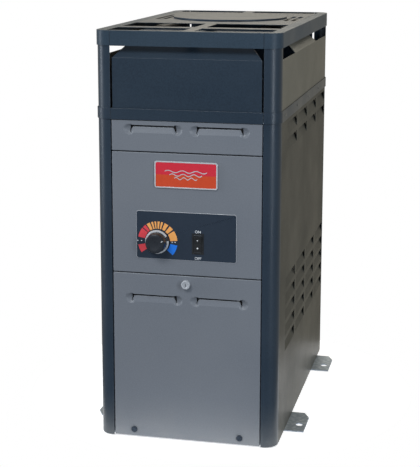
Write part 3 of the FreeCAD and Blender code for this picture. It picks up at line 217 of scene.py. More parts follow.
FINISHES = {
    "blue_paint": paint("blue_powder_coat", (0.0165, 0.0285, 0.0440), (0.027, 0.043, 0.062),
                        (0.3, 0.42), specular=0.34),
    "side_paint": paint("side_powder_coat", (0.038, 0.040, 0.036), (0.056, 0.055, 0.047),
                        fleck=0.24, specular=0.13),
    # The grey panels' strong edge lightening is partly a painted edge highlight.
    "grey_paint": paint("grey_satin_paint", (0.152, 0.166, 0.188), (0.186, 0.198, 0.216),
                        rough=(0.30, 0.38), fleck=0.06, wear_and_highlight=0.8, specular=0.26),
    "galvanised": bare_metal("galvanised_sheet", (0.26, 0.31, 0.37), (0.44, 0.50, 0.57), 0.85, (0.34, 0.5)),
    "stainless": bare_metal("stainless_tube", (0.36, 0.34, 0.32), (0.6, 0.58, 0.55), 1.0, (0.25, 0.4), 60.0),
    "black_plastic": moulded("black_moulding", (0.008, 0.009, 0.010), (0.5, 0.62)),
    "knob_plastic": moulded("knob_moulding", (0.016, 0.019, 0.024), (0.22, 0.34)),
    "refractory": printed("refractory_board", (0.62, 0.58, 0.52), 0.85),
    # The control plate's edge lightening is partly a painted edge highlight.
    "dark_plate": paint("control_plate_lacquer", (0.022, 0.032, 0.048), (0.03, 0.042, 0.06),
                        rough=(0.3, 0.4), fleck=0.1, wear_and_highlight=0.5, dust=0.0),
    "badge_enamel": printed("badge_red", (0.62, 0.020, 0.040), 0.4),
    "screw_steel": bare_metal("blued_screw", (0.02, 0.03, 0.045), (0.05, 0.065, 0.09), 0.6,
                              (0.3, 0.45), 300.0),
    "copper": bare_metal("drawn_copper", (0.45, 0.18, 0.09), (0.7, 0.32, 0.2), 1.0, (0.2, 0.4), 80.0),
    "black_pipe": paint("black_pipe_lacquer", (0.02, 0.02, 0.02), (0.04, 0.04, 0.04), wear_and_highlight=0.2, dust=0.0),
    "valve_casting": bare_metal("die_casting", (0.38, 0.38, 0.4), (0.55, 0.55, 0.56), 0.9,
                                (0.35, 0.5), 400.0),
    "red_plastic": moulded("red_moulding", (0.42, 0.02, 0.015)),
    "chrome": bare_metal("bright_chrome", (0.72, 0.73, 0.76), (0.86, 0.87, 0.9), 1.0, (0.06, 0.16), 500.0),
    "bronze": paint("header_paint", (0.07, 0.07, 0.08), (0.1, 0.1, 0.11), wear_and_highlight=0.2, dust=0.0),
    "transformer_steel": paint("core_lacquer", (0.1, 0.1, 0.11), (0.14, 0.14, 0.15), wear_and_highlight=0.2, dust=0.0),
    "union_plastic": moulded("union_moulding", (0.025, 0.026, 0.03), (0.3, 0.42)),
}
EXTRA = {
    "orange_ink": printed("dial_orange", (0.90, 0.40, 0.105)),
    "red_ink": printed("dial_red", (0.72, 0.055, 0.070)),
    "blue_ink": printed("dial_blue", (0.010, 0.19, 0.78)),
    "white_ink": printed("white_print", (0.80, 0.82, 0.84)),
    "badge_orange": printed("badge_orange_red", (0.60, 0.060, 0.014), 0.4),
    "silver": bare_metal("silver_trim", (0.62, 0.63, 0.65), (0.78, 0.79, 0.80), 0.35, (0.3, 0.4), 600.0),
    "cap_paint": paint("cap_powder_coat", (0.025, 0.042, 0.061), (0.040, 0.062, 0.086)),
    # Warm olive on the upper side sheets is a painted reflection: the warm light from behind, mirrored at a
    # grazing angle, painted into the colour.
    "upper_reflection_paint": paint("upper_side_painted_reflection", (0.095, 0.094, 0.080), (0.135, 0.132, 0.110), fleck=0.2),
    "satin_lock": bare_metal("satin_lock", (0.58, 0.60, 0.63), (0.80, 0.82, 0.85), 0.55, (0.3, 0.42), 500.0),
    "light_rivet": bare_metal("light_rivet", (0.20, 0.20, 0.18), (0.34, 0.34, 0.30), 0.5, (0.35, 0.5), 300.0),
}


# --- Mesh helpers --------------------------------------------------------------------------

CRISP = 35.0


def soften(piece, angle):
    """Smooth shading with crisp edges above the angle; flat shading when the angle is nought."""
    mesh = piece.data
    for face in mesh.polygons:
        face.use_smooth = angle > 0.0
    mesh.set_sharp_from_angle(angle=math.radians(angle))


def add_bevel(piece, width):
    """Round the crisp edges."""
    bevel = piece.modifiers.new("rounded_edges", "BEVEL")
    bevel.width = width
    bevel.segments = 2
    bevel.limit_method = "ANGLE"
    bevel.angle_limit = math.radians(CRISP)
    bevel.use_clamp_overlap = True
    bevel.harden_normals = True


def add_thickness(piece, thickness=SHEET):
    """Grow the sheet inwards from its outer face."""
    wall = piece.modifiers.new("sheet_thickness", "SOLIDIFY")
    wall.thickness = thickness
    wall.offset = -1.0
    wall.use_even_offset = True


def make_piece(name, bm, materials, body, replaces=(), angle=CRISP):
    """Turn a bmesh into a piece that rides on a body and stands for CAD nodes."""
    mesh = bpy.data.meshes.new(name)
    bm.to_mesh(mesh)
    bm.free()
    piece = bpy.data.objects.new(name, mesh)
    SCENE.collection.objects.link(piece)
    for material in materials:
        mesh.materials.append(material)
    soften(piece, angle)
    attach(piece, body)
    if replaces:
        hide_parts(*replaces)
    return piece


def outline_edges(bm, low, high):
    """The four short edges through a plate's thickness at its outer corners."""
    def at_corner(vert):
        beside = min(abs(vert.co.x - low.x), abs(vert.co.x - high.x))
        above = min(abs(vert.co.z - low.z), abs(vert.co.z - high.z))
        return max(beside, above) < NEARLY_NOTHING

    return [edge for edge in bm.edges if all(at_corner(vert) for vert in edge.verts)
            and abs(edge.verts[0].co.y - edge.verts[1].co.y) > NEARLY_NOTHING]


def dressed(node, finish=None, corner=0.0):
    """The CAD node's own shape, merged and softened; a corner radius rounds a flat plate's outline."""
    bm = bmesh.new()
    bm.from_mesh(frame["nodes"][node].data)
    bmesh.ops.remove_doubles(bm, verts=bm.verts, dist=0.005 * MM)
    bmesh.ops.dissolve_limit(bm, angle_limit=math.radians(1.0), verts=bm.verts, edges=bm.edges)
    if corner:
        bmesh.ops.bevel(bm, geom=outline_edges(bm, *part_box(node)), offset=corner, offset_type="OFFSET",
                        affect="EDGES", segments=6, profile=0.5, material=-1)
    slot = SLOT_OF[node]
    piece = make_piece(node + "_skin", bm, [finish or FINISHES[slot]], BODY_OF[node], [node])
    add_bevel(piece, SOFT_EDGE)


def cut_lines(bm, axis, places):
    """Cut every face along planes across one axis."""
    normal = Vector([1.0 if index == axis else 0.0 for index in range(3)])
    for place in places:
        geometry = bm.verts[:] + bm.edges[:] + bm.faces[:]
        bmesh.ops.bisect_plane(bm, geom=geometry, dist=0.001 * MM, plane_co=normal * place, plane_no=normal)


def quad(bm, corners):
    """One face through four corners."""
    return bm.faces.new([bm.verts.new(corner) for corner in corners])


def disc(bm, centre, radius, segments):
    """A flat disc that faces -Y."""
    made = bmesh.ops.create_circle(bm, cap_ends=True, radius=radius, segments=segments)
    turn = Matrix.Translation(centre) @ Matrix.Rotation(math.radians(90), 4, "X")
    bmesh.ops.transform(bm, matrix=turn, verts=made["verts"])


def spin_shape(bm, profile, centre, segments, facing=(0, -1, 0)):
    """Add a turned shape: the profile gives radius and distance along the way it faces, in mm."""
    before = set(bm.verts)
    verts = [bm.verts.new((radius * MM, -forward * MM, 0.0)) for radius, forward in profile]
    edges = [bm.edges.new(pair) for pair in zip(verts, verts[1:])]
    bmesh.ops.spin(bm, geom=verts + edges, cent=(0, 0, 0), axis=(0, 1, 0), angle=math.tau, steps=segments,
                   use_merge=True, use_duplicate=False)
    made = [v for v in bm.verts if v not in before]
    turn = Vector((0, -1, 0)).rotation_difference(Vector(facing)).to_matrix().to_4x4()
    bmesh.ops.transform(bm, matrix=Matrix.Translation(centre) @ turn, verts=made)


def closed_up(bm):
    """Merge doubled vertices and turn the faces outwards."""
    bmesh.ops.remove_doubles(bm, verts=bm.verts, dist=0.002 * MM)
    bmesh.ops.recalc_face_normals(bm, faces=bm.faces)
    return bm


def rounded_face(bm, low, high, y, radius):
    """A flat face along -Y with four rounded corners."""
    before = set(bm.faces)
    face = quad(bm, [(low.x, y, low.z), (high.x, y, low.z), (high.x, y, high.z), (low.x, y, high.z)])
    bmesh.ops.bevel(bm, geom=face.verts[:], offset=radius, offset_type="OFFSET", affect="VERTICES",
                    segments=6, profile=0.5, material=-1)
    return [face for face in bm.faces if face not in before]


# --- Front panels --------------------------------------------------------------------------

LOUVRE_CENTRES = (-69.0 * MM, 69.0 * MM)
FLAP_HALF = 47.5 * MM
FLAP_HEIGHT = 16.0 * MM
FLAP_LEAN = 3.5 * MM
FLAP_GAP = 3.4 * MM
FLAP_TAPER = 3.0 * MM
FLAP_CORNER = 5.0 * MM
SCOOP_DEPTH = 5.6 * MM
SCOOP_REACH = 14.0 * MM
SCOOP_UNDER = 6.0 * MM
SCOOP_LEVEL = 7.0 * MM
SCOOP_HALF_HEIGHT = 11.0 * MM
# Size and place of the dark sheets behind the louvres, which are painted shade.
SHADE_SHEET_LAP = 6.0 * MM
SHADE_SHEET_DEPTH = 7.4 * MM
SHADE_SHEET_CORNER = 3.0 * MM
SHADE_SHEET_GAUGE = 0.5 * MM
PANEL_EDGE = 1.6 * MM
PANEL_FOLD = 5.0 * MM
VENT_FLAP_DROP = 25.5 * MM
DOOR_FLAP_DROP = 60.5 * MM
SHALLOW_CREASE = 20.0
CUTS_OUT = [n * MM for n in (-9, -6, -5, -4, -2.5, -1.2, 0, 2, 4, 6, 8, 10, 11.5, 13, 14)]
CUTS_UP = [n * MM for n in (-4, -3, -1.5, 0, 2, 4, 6, 8, 10, 12, 14, 16, 17.2, 18)]


def scoop_depth(out, up):
    """How far the sheet round a flap's end is drawn in."""
    reach = SCOOP_REACH if out > 0.0 else SCOOP_UNDER
    return SCOOP_DEPTH * max(0.0, 1.0 - (out / reach) ** 2 - ((up - SCOOP_LEVEL) / SCOOP_HALF_HEIGHT) ** 2)


def press_louvres(bm, foot, front):
    """Two flaps lanced in the sheet, hinged along their feet, with a drawn scoop at each end."""
    cut_lines(bm, 0, [centre + sign * (FLAP_HALF + out)
                      for centre in LOUVRE_CENTRES for sign in (-1, 1) for out in CUTS_OUT])
    cut_lines(bm, 2, [foot + up for up in CUTS_UP])

    def measured(point):
        """Distance out from the nearest flap's end, height above its foot, and that flap's centre."""
        centre = min(LOUVRE_CENTRES, key=lambda c: abs(point.x - c))
        return abs(point.x - centre) - FLAP_HALF, point.z - foot, centre

    flap = set()
    for face in bm.faces:
        middle = face.calc_center_median()
        out, up, centre = measured(middle)
        if abs(middle.y - front) < NEARLY_NOTHING and out < 0.0 < up < FLAP_HEIGHT:
            flap.add(face)
    lanced = [edge for edge in bm.edges if sum(face in flap for face in edge.link_faces) == 1
              and any(vert.co.z > foot + NEARLY_NOTHING for vert in edge.verts)]
    bmesh.ops.split_edges(bm, edges=lanced)
    flap_verts = {vert for face in flap for vert in face.verts}
    for vert in bm.verts:
        if abs(vert.co.y - front) > NEARLY_NOTHING:
            continue
        out, up, centre = measured(vert.co)
        if vert not in flap_verts:
            vert.co.y += scoop_depth(out, up)
            continue
        rise = up / FLAP_HEIGHT
        corner = min(1.0, max(0.0, 1.0 + out / FLAP_CORNER))
        drop = FLAP_CORNER * (1.0 - math.sqrt(1.0 - corner ** 2))
        vert.co.y += FLAP_LEAN * rise + scoop_depth(out, 0.0) * (1.0 - rise) ** 2
        vert.co.x = centre + (vert.co.x - centre) * (1.0 - rise * FLAP_TAPER / FLAP_HALF)
        vert.co.z -= rise * (FLAP_GAP + drop * rise)


def panel_sheet(node, flap_foot):
    """A front panel: a face folded back along its four edges, with or without pressed louvres."""
    low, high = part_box(node)
    front, back = low.y, high.y
    bm = bmesh.new()
    face = quad(bm, [(low.x, front, low.z), (high.x, front, low.z),
                     (high.x, front, high.z), (low.x, front, high.z)])
    folded = bmesh.ops.extrude_edge_only(bm, edges=face.edges[:])["geom"]
    rear = [part for part in folded if isinstance(part, bmesh.types.BMVert)]
    bmesh.ops.translate(bm, vec=(0, back - front, 0), verts=rear)
    bmesh.ops.recalc_face_normals(bm, faces=bm.faces)
    folds = [e for e in bm.edges if all(abs(v.co.y - front) < NEARLY_NOTHING for v in e.verts)]
    folds += [e for e in bm.edges if abs(e.verts[0].co.y - e.verts[1].co.y) > PANEL_FOLD]
    bmesh.ops.bevel(bm, geom=folds, offset=PANEL_EDGE, offset_type="OFFSET", affect="EDGES", segments=4,
                    profile=0.5, material=-1)
    if flap_foot is not None:
        press_louvres(bm, flap_foot, front)
    bm.normal_update()
    broad = max(bm.faces, key=lambda f: f.calc_area())
    if broad.normal.y > 0:
        bmesh.ops.reverse_faces(bm, faces=bm.faces)
    return bm


def louvre_shade_sheets(node, foot, front):
    """Dark sheets behind a panel's louvres: painted shade for the dark inside seen through the slots."""
    bm = bmesh.new()
    reach = FLAP_HALF + SCOOP_UNDER
    for centre in LOUVRE_CENTRES:
        low = Vector((centre - reach, 0, foot - SHADE_SHEET_LAP))
        high = Vector((centre + reach, 0, foot + FLAP_HEIGHT + SHADE_SHEET_LAP))
        rounded_face(bm, low, high, front + SHADE_SHEET_DEPTH, SHADE_SHEET_CORNER)
    finish = FINISHES["black_pipe"]
    shade_sheets = make_piece(node + "_louvre_shade_sheets", bm, [finish], BODY_OF[node])
    add_thickness(shade_sheets, SHADE_SHEET_GAUGE)


def front_panels():
    """The vent panel, the control panel and the door, flat in front and shaded so."""
    feet = {"vent_panel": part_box("vent_panel")[1].z - VENT_FLAP_DROP, "control_panel": None,
            "door_panel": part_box("door_panel")[1].z - DOOR_FLAP_DROP}
    for node, foot in feet.items():
        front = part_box(node)[0].y
        piece = make_piece(node + "_skin", panel_sheet(node, foot), [FINISHES["grey_paint"]], BODY_OF[node],
                           [node], SHALLOW_CREASE)
        for face in piece.data.polygons:
            face.use_smooth = abs(face.center.y - front) > NEARLY_NOTHING
        add_thickness(piece)
        if foot is not None:
            # Dark sheets behind the louvres: painted shade.
            louvre_shade_sheets(node, foot, front)


# --- Side panels ---------------------------------------------------------------------------

LOUVRE_WIDTH = 124 * MM
LOUVRE_HEIGHT = 24 * MM
LOUVRE_DEPTH = 8.8 * MM
LOUVRE_PITCH = 143 * MM
LOUVRE_DROP = 34 * MM
FIRST_LOUVRE = 100 * MM
LOUVRE_FIELDS = ((672 * MM, 2), (341 * MM, 5))
LOUVRE_COLUMNS = 4
CABINET_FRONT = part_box("lower_post_front_right")[0].y


def side_louvres(node, side):
    """A side sheet with fields of louvres, each lanced on three sides and pushed inwards."""
    low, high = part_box(node)
    face_x = high.x if side > 0 else low.x
    bm = bmesh.new()
    quad(bm, [(face_x, low.y, low.z), (face_x, high.y, low.z),
              (face_x, high.y, high.z), (face_x, low.y, high.z)])
    starts = [CABINET_FRONT + FIRST_LOUVRE + n * LOUVRE_PITCH for n in range(LOUVRE_COLUMNS)]
    tops = [top - n * LOUVRE_DROP for top, rows in LOUVRE_FIELDS for n in range(rows)]
    cut_lines(bm, 1, starts + [start + LOUVRE_WIDTH for start in starts])
    cut_lines(bm, 2, tops + [top - LOUVRE_HEIGHT for top in tops])
    flaps = []
    for face in bm.faces:
        middle = face.calc_center_median()
        column = any(start < middle.y < start + LOUVRE_WIDTH for start in starts)
        row = [top for top in tops if top - LOUVRE_HEIGHT < middle.z < top]
        if column and row:
            flaps.append((face, row[0]))
    for face, top in flaps:
        hinge = top - LOUVRE_HEIGHT
        free = [e for e in face.edges if any(abs(v.co.z - hinge) > NEARLY_NOTHING for v in e.verts)]
        bmesh.ops.split_edges(bm, edges=free)
    for face, top in flaps:
        for vert in face.verts:
            if abs(vert.co.z - top) < NEARLY_NOTHING:
                vert.co.x = face_x - side * LOUVRE_DEPTH
    bm.normal_update()
    broad = max(bm.faces, key=lambda f: f.calc_area())
    if broad.normal.x * side < 0:
        bmesh.ops.reverse_faces(bm, faces=bm.faces)
    finish = FINISHES["side_paint"]
    add_thickness(make_piece(node + "_skin", bm, [finish], BODY_OF[node], [node], 0.0))


# --- Controls ------------------------------------------------------------------------------

plate_low, plate_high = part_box("control_plate")
PLATE_FACE = plate_low.y
skirt_low, skirt_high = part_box("thermostat_knob")
DIAL = Vector(((skirt_low.x + skirt_high.x) / 2, PLATE_FACE, (skirt_low.z + skirt_high.z) / 2))
switch_low, switch_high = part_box("switch_body")
SWITCH = Vector(((switch_low.x + switch_high.x) / 2, PLATE_FACE, (switch_low.z + switch_high.z) / 2))
INK = 0.15 * MM
LETTER_SIZE = 8 * MM
ON_LIFT, OFF_DROP = 25 * MM, 31 * MM
RING_INNER, RING_OUTER = 26.8 * MM, 42 * MM
DOT_RADIUS = 1.1 * MM
DOTS = ((180, 34 * MM), (180, 42 * MM), (0, 31 * MM), (0, 37 * MM))
ORANGE, RED, COOL_BLUE, WHITE = range(4)
# Each block of the scale: the angles where it starts and ends, and its ink.
SEGMENTS = (
    (192, 216, RED), (140, 168.7, RED), (127, 137, RED), (113, 123.5, ORANGE), (103, 109, ORANGE),
    (94, 99, ORANGE), (83.5, 90, ORANGE), (73.7, 79.8, ORANGE), (57, 69, ORANGE), (39, 52, ORANGE),
    (4.3, 34.4, ORANGE), (-41, -9, COOL_BLUE),
)


def turn_about_dial(degrees):
    """A turn anticlockwise as seen from the front."""
    return Matrix.Rotation(-math.radians(degrees), 3, "Y")


def dial_scale():
    """The printed scale round the knob: cool to warm blocks and four dots, in four inks."""
    bm = bmesh.new()
    for start, end, ink in SEGMENTS:
        inner = bm.verts.new((RING_INNER, -INK, 0))
        outer = bm.verts.new((RING_OUTER, -INK, 0))
        edge = bm.edges.new((inner, outer))
        bmesh.ops.rotate(bm, cent=(0, 0, 0), matrix=turn_about_dial(start), verts=[inner, outer])
        before = set(bm.faces)
        bmesh.ops.spin(bm, geom=[inner, outer, edge], cent=(0, 0, 0), axis=(0, -1, 0),
                       angle=math.radians(end - start), steps=max(2, int((end - start) / 4)))
        for face in set(bm.faces) - before:
            face.material_index = ink
    for angle, radius in DOTS:
        before = set(bm.faces)
        disc(bm, turn_about_dial(angle) @ Vector((radius, -INK, 0)), DOT_RADIUS, 16)
        for face in set(bm.faces) - before:
            face.material_index = WHITE
    bm.normal_update()
    bmesh.ops.reverse_faces(bm, faces=[f for f in bm.faces if f.normal.y > 0])
    bmesh.ops.translate(bm, vec=DIAL, verts=bm.verts)
    inks = [EXTRA[ink] for ink in ("orange_ink", "red_ink", "blue_ink", "white_ink")]
    make_piece("dial_scale", bm, inks, "cabinet", angle=1.0)


def lettering(name, words, lift, body):
    """Small capital letters printed on the plate, above or below the switch."""
    curve = bpy.data.curves.new(name, "FONT")
    curve.body = words
    curve.size = LETTER_SIZE
    curve.align_x = "CENTER"
    curve.align_y = "CENTER"
    curve.extrude = 0.05 * MM
    text = bpy.data.objects.new(name + "_curve", curve)
    SCENE.collection.objects.link(text)
    bpy.context.view_layer.update()
    shaped = text.evaluated_get(bpy.context.evaluated_depsgraph_get())
    mesh = bpy.data.meshes.new_from_object(shaped)
    bpy.data.objects.remove(text)
    centre = SWITCH + Vector((0, -INK, lift))
    mesh.transform(Matrix.Translation(centre) @ Matrix.Rotation(math.radians(90), 4, "X"))
    mesh.materials.clear()
    mesh.materials.append(EXTRA["white_ink"])
    piece = bpy.data.objects.new(name, mesh)
    SCENE.collection.objects.link(piece)
    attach(piece, body)


KNOB_STANDOFF = Vector((0, -1.2 * MM, 0))
POINTER_ANGLE = 20.0
RING_GAP = 24.0
GRIP = ((0, 0), (24.2, 0), (24.7, 0.5), (24.7, 4.5), (24.0, 5.6), (21.4, 6.0), (20.9, 6.4),
        (20.6, 7.2), (20.2, 20.5), (19.2, 22.8), (17.2, 23.7), (13.5, 23.9), (12.5, 23.3), (0, 23.0))
SKIRT_RING = ((21.4, 6.15), (24.0, 6.0), (24.75, 5.0), (24.75, 3.5))
POINTER_TIP, POINTER_HEEL = (14.5, -23.95), (18.2, -23.55)
POINTER_HALF = 0.8


def knob():
    """The thermostat knob: dark grip, bright skirt ring, pointer."""
    back = DIAL + KNOB_STANDOFF
    bm = bmesh.new()
    spin_shape(bm, GRIP, back, 96)
    make_piece("knob_grip", closed_up(bm), [FINISHES["knob_plastic"]], "knob",
               ["thermostat_knob"])
    bm = bmesh.new()
    verts = [bm.verts.new((radius * MM, -forward * MM, 0)) for radius, forward in SKIRT_RING]
    edges = [bm.edges.new(pair) for pair in zip(verts, verts[1:])]
    start = turn_about_dial(POINTER_ANGLE + RING_GAP / 2)
    bmesh.ops.rotate(bm, cent=(0, 0, 0), matrix=start, verts=verts)
    bmesh.ops.spin(bm, geom=verts + edges, cent=(0, 0, 0), axis=(0, -1, 0),
                   angle=math.radians(360.0 - RING_GAP), steps=90)
    bmesh.ops.recalc_face_normals(bm, faces=bm.faces)
    bmesh.ops.translate(bm, vec=back, verts=bm.verts)
    make_piece("knob_bright_ring", bm, [EXTRA["silver"]], "knob")
    bm = bmesh.new()
    corners = ((POINTER_TIP, -1), (POINTER_HEEL, -1), (POINTER_HEEL, 1), (POINTER_TIP, 1))
    quad(bm, [(x * MM, y * MM, side * POINTER_HALF * MM) for (x, y), side in corners])
    bmesh.ops.rotate(bm, cent=(0, 0, 0), matrix=turn_about_dial(POINTER_ANGLE), verts=bm.verts)
    bmesh.ops.translate(bm, vec=back, verts=bm.verts)
    make_piece("knob_pointer", bm, [EXTRA["white_ink"]], "knob")


TRIM_HEIGHT = 0.5 * MM
TRIM_EDGE = 0.15 * MM


def trim_ring(name, low, high, y, radius, width):
    """A thin bright border that follows a rounded outline."""
    bm = bmesh.new()
    middle = rounded_face(bm, low, high, y, radius)
    bmesh.ops.inset_region(bm, faces=middle, thickness=width, use_boundary=True, use_even_offset=True)
    bmesh.ops.delete(bm, geom=middle, context="FACES")
    piece = make_piece(name, bm, [EXTRA["silver"]], "cabinet")
    add_thickness(piece, TRIM_HEIGHT)
    add_bevel(piece, TRIM_EDGE)


BADGE_RIM = 2.4 * MM
BADGE_CORNER = 4.5 * MM
BADGE_BACK = 0.2 * MM
FIELD_DEPTH = 0.3 * MM
# Each wave line: half its width and how far it stands above the badge's middle.
WAVES = ((44 * MM, 7 * MM), (34 * MM, 0.0), (24 * MM, -7 * MM))
WAVE_HEIGHT = 2.2 * MM
WAVE_HALF_LINE = 0.9 * MM
WAVE_RELIEF = 0.15 * MM
WAVE_CRESTS = 3
WAVE_STEPS = 60


def badge():
    """A blank two-tone enamel plate in a bright frame, with plain wave lines."""
    low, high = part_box("badge")
    field_y = low.y + FIELD_DEPTH
    middle = (low.z + high.z) / 2
    centre_x = (low.x + high.x) / 2
    rim = Vector((BADGE_RIM, 0, BADGE_RIM))
    bm = bmesh.new()
    inner = rounded_face(bm, low + rim, high - rim, field_y, BADGE_CORNER - BADGE_RIM / 2)
    bmesh.ops.bisect_plane(bm, geom=bm.verts[:] + bm.edges[:] + inner, dist=0.001 * MM,
                           plane_co=(centre_x, field_y, middle), plane_no=(0, 0, 1))
    for half in bm.faces:
        half.material_index = int(half.calc_center_median().z < middle)
    make_piece("badge_fields", bm, [FINISHES["badge_enamel"], EXTRA["badge_orange"]], "cabinet",
               ["badge"])
    trim_ring("badge_frame", low, high, low.y, BADGE_CORNER, BADGE_RIM)
    bm = bmesh.new()
    rounded_face(bm, low, high, high.y - BADGE_BACK, BADGE_CORNER)
    back = make_piece("badge_back", bm, [EXTRA["silver"]], "cabinet")
    add_thickness(back, BADGE_BACK)
    bm = bmesh.new()
    for half_width, lift in WAVES:
        pairs = []
        for step in range(WAVE_STEPS + 1):
            along = step / WAVE_STEPS
            x = centre_x + half_width * (2.0 * along - 1.0)
            z = middle + lift + WAVE_HEIGHT * math.sin(along * math.tau * WAVE_CRESTS)
            pairs.append([bm.verts.new((x, field_y - WAVE_RELIEF, z + edge))
                          for edge in (-WAVE_HALF_LINE, WAVE_HALF_LINE)])
        for (a, b), (c, d) in zip(pairs, pairs[1:]):
            bm.faces.new((a, c, d, b))
    make_piece("badge_waves", bm, [EXTRA["silver"]], "cabinet", angle=1.0)


# Each mark: how far it stands above the switch's middle, and its radius.
ROCKER_MARKS = ((8 * MM, 1.2 * MM), (-8 * MM, 1.6 * MM))


def rocker_marks():
    """A dot near each end of the rocker."""
    low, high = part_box("switch_rocker")
    bm = bmesh.new()
    for height, radius in ROCKER_MARKS:
        disc(bm, Vector(((low.x + high.x) / 2, low.y - 0.1 * MM, SWITCH.z + height)), radius, 20)
    make_piece("rocker_marks", bm, [EXTRA["white_ink"]], "rocker", angle=1.0)


# --- Fasteners -----------------------------------------------------------------------------

SCREW_HEAD = ((0, 1.0), (1.1, 1.0), (1.3, 1.9), (2.4, 1.7), (3.4, 1.0), (3.8, 0.0))
HEAD_SUNK = 1.9 * MM
# Each screw: how far it stands behind the cabinet's front and above the floor, in mm.
LIGHT_SCREWS = ((136, 555), (151, 464))
DARK_SCREWS = ((440, 462), (660, 464))


def side_screws():
    """Pan-head screws with a round socket, in both side panels."""
    for node, side in (("side_panel_left", -1), ("side_panel_right", 1)):
        low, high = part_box(node)
        face_x = high.x if side > 0 else low.x
        for name, finish, places in (("light", EXTRA["light_rivet"], LIGHT_SCREWS),
                                     ("dark", FINISHES["screw_steel"], DARK_SCREWS)):
            bm = bmesh.new()
            for back, up in places:
                centre = Vector((face_x - side * HEAD_SUNK, CABINET_FRONT + back * MM, up * MM))
                spin_shape(bm, SCREW_HEAD, centre, 24, (side, 0, 0))
            make_piece(f"{node}_{name}_screws", closed_up(bm), [finish], "cabinet")


# --- Build everything ----------------------------------------------------------------------

front_panels()
side_louvres("side_panel_left", -1)
side_louvres("side_panel_right", 1)
dial_scale()
lettering("switch_on_word", "ON", ON_LIFT, "cabinet")
lettering("switch_off_word", "OFF", -OFF_DROP, "cabinet")
knob()
badge()
rocker_marks()

SPECIAL = {
    "cap_front": "cap_paint", "cap_left": "cap_paint", "cap_right": "cap_paint", "cap_rear": "cap_paint",
    # The upper side sheets take the painted warm reflection.
    "upper_side_left": "upper_reflection_paint", "upper_side_right": "upper_reflection_paint",
    "lock_barrel": "satin_lock", "lock_plug": "satin_lock", "collar_rivets": "light_rivet",
}
OWN_SHAPE = {"vent_panel", "control_panel", "door_panel", "side_panel_left", "side_panel_right",
             "thermostat_knob", "badge"}
ROUNDED_CORNERS = {"control_plate": 4 * MM}
for node in frame["nodes"]:
    if node not in OWN_SHAPE:
        dressed(node, EXTRA.get(SPECIAL.get(node)), ROUNDED_CORNERS.get(node, 0.0))

# A silver ring round the control plate: a painted highlight along the plate's edge.
PLATE_HIGHLIGHT_OUT = Vector((0.6, 0.0, 0.6)) * MM
trim_ring("plate_edge_highlight", plate_low - PLATE_HIGHLIGHT_OUT, plate_high + PLATE_HIGHLIGHT_OUT, PLATE_FACE + 0.6 * MM,
          4.6 * MM, 1.0 * MM)
side_screws()


# --- Floor, light and camera ---------------------------------------------------------------

def floor():
    """A pale round floor under the heater."""
    bm = bmesh.new()
    bmesh.ops.create_circle(bm, cap_ends=True, radius=FLOOR_RADIUS, segments=96)
    mesh = bpy.data.meshes.new("pale_floor")
    bm.to_mesh(mesh)
    bm.free()
    plane = bpy.data.objects.new("pale_floor", mesh)
    SCENE.collection.objects.link(plane)
    f = Finish("pale_floor_finish")
    f.set(Roughness=0.9, Specular_IOR_Level=0.1, Emission_Strength=0.6)
    f.shader.inputs["Emission Color"].default_value = (1.0, 1.0, 1.0, 1.0)
    f.link(f.blend(f.spread(f.noise(3.0), 0.3, 0.7), (0.93, 0.93, 0.93), (0.96, 0.96, 0.96)),
           f.shader.inputs["Base Color"])
    mesh.materials.append(f.material)


def area_light(name, place, target, size, power, colour):
    """A soft rectangular light aimed at a target."""
    light = bpy.data.lights.new(name, "AREA")
    light.shape = "RECTANGLE"
    light.size, light.size_y = size
    light.energy = power
    light.color = colour
    lamp = bpy.data.objects.new(name, light)
    SCENE.collection.objects.link(lamp)
    lamp.visible_camera = False
    lamp.location = place
    lamp.rotation_euler = (Vector(target) - Vector(place)).to_track_quat("-Z", "Y").to_euler()


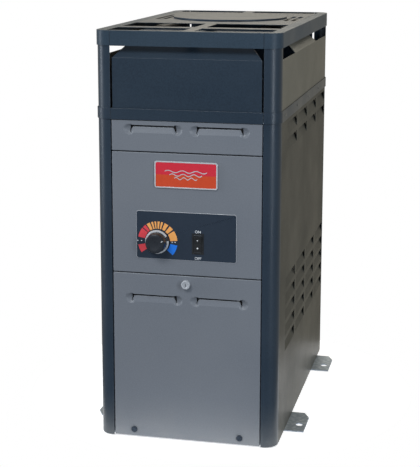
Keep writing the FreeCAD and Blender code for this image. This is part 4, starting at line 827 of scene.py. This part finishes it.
def surroundings():
    """A white backdrop, and a dim room that is cool in front and warm behind."""
    world = bpy.data.worlds.new("studio_air")
    SCENE.world = world
    world.use_nodes = True
    nodes, links = world.node_tree.nodes, world.node_tree.links
    room = nodes["Background"]
    room.inputs["Strength"].default_value = 0.34
    split = nodes.new("ShaderNodeSeparateXYZ")
    ramp = nodes.new("ShaderNodeValToRGB")
    ramp.color_ramp.elements[0].color = (0.72, 0.80, 0.92, 1.0)
    ramp.color_ramp.elements[1].color = (1.15, 1.06, 0.86, 1.0)
    shift = nodes.new("ShaderNodeMapRange")
    shift.inputs["From Min"].default_value = -0.5
    shift.inputs["From Max"].default_value = 0.8
    links.new(nodes.new("ShaderNodeTexCoord").outputs["Generated"], split.inputs[0])
    links.new(split.outputs["Y"], shift.inputs["Value"])
    links.new(shift.outputs["Result"], ramp.inputs["Fac"])
    links.new(ramp.outputs["Color"], room.inputs["Color"])
    backdrop = nodes.new("ShaderNodeBackground")
    backdrop.inputs["Color"].default_value = (1.0, 1.0, 1.0, 1.0)
    path = nodes.new("ShaderNodeLightPath")
    mix = nodes.new("ShaderNodeMixShader")
    links.new(path.outputs["Is Camera Ray"], mix.inputs["Fac"])
    links.new(room.outputs[0], mix.inputs[1])
    links.new(backdrop.outputs[0], mix.inputs[2])
    links.new(mix.outputs[0], nodes["World Output"].inputs["Surface"])


def camera():
    """A long lens from the front right, a little above the cap."""
    lens = bpy.data.cameras.new("studio_camera")
    eye = bpy.data.objects.new("studio_camera", lens)
    SCENE.collection.objects.link(eye)
    yaw, pitch, roll = (math.radians(a) for a in (12.69, 11.0, 0.107))
    forward = Vector((-math.sin(yaw) * math.cos(pitch), math.cos(yaw) * math.cos(pitch), -math.sin(pitch)))
    right = Vector((math.cos(yaw), math.sin(yaw), 0))
    up = right.cross(forward)
    turned_right = right * math.cos(roll) + up * math.sin(roll)
    turned_up = up * math.cos(roll) - right * math.sin(roll)
    basis = Matrix((turned_right, turned_up, -forward)).transposed()
    eye.matrix_world = Matrix.Translation((0.6070, -2.8197, 1.0549)) @ basis.to_4x4()
    lens.sensor_width = 36.0
    lens.lens = 98.83
    lens.shift_y = -0.1118
    lens.clip_end = 50.0
    SCENE.camera = eye


floor()
surroundings()
area_light("front_key", (-1.3, -3.4, 3.6), (0, -0.3, 0.4), (2.0, 1.6), 120, (0.98, 0.99, 1.0))
area_light("right_strip", (2.1, -1.9, 1.1), (0.15, -0.3, 0.5), (0.4, 2.2), 34, (0.86, 0.93, 1.0))
area_light("left_strip", (-2.3, -0.7, 1.1), (-0.15, -0.3, 0.5), (0.4, 2.2), 30, (0.86, 0.93, 1.0))
area_light("overhead", (0.3, 2.6, 3.0), (0, 0, 0.8), (3.0, 2.4), 60, (1.0, 0.93, 0.80))
camera()
SCENE.view_settings.view_transform = "Standard"
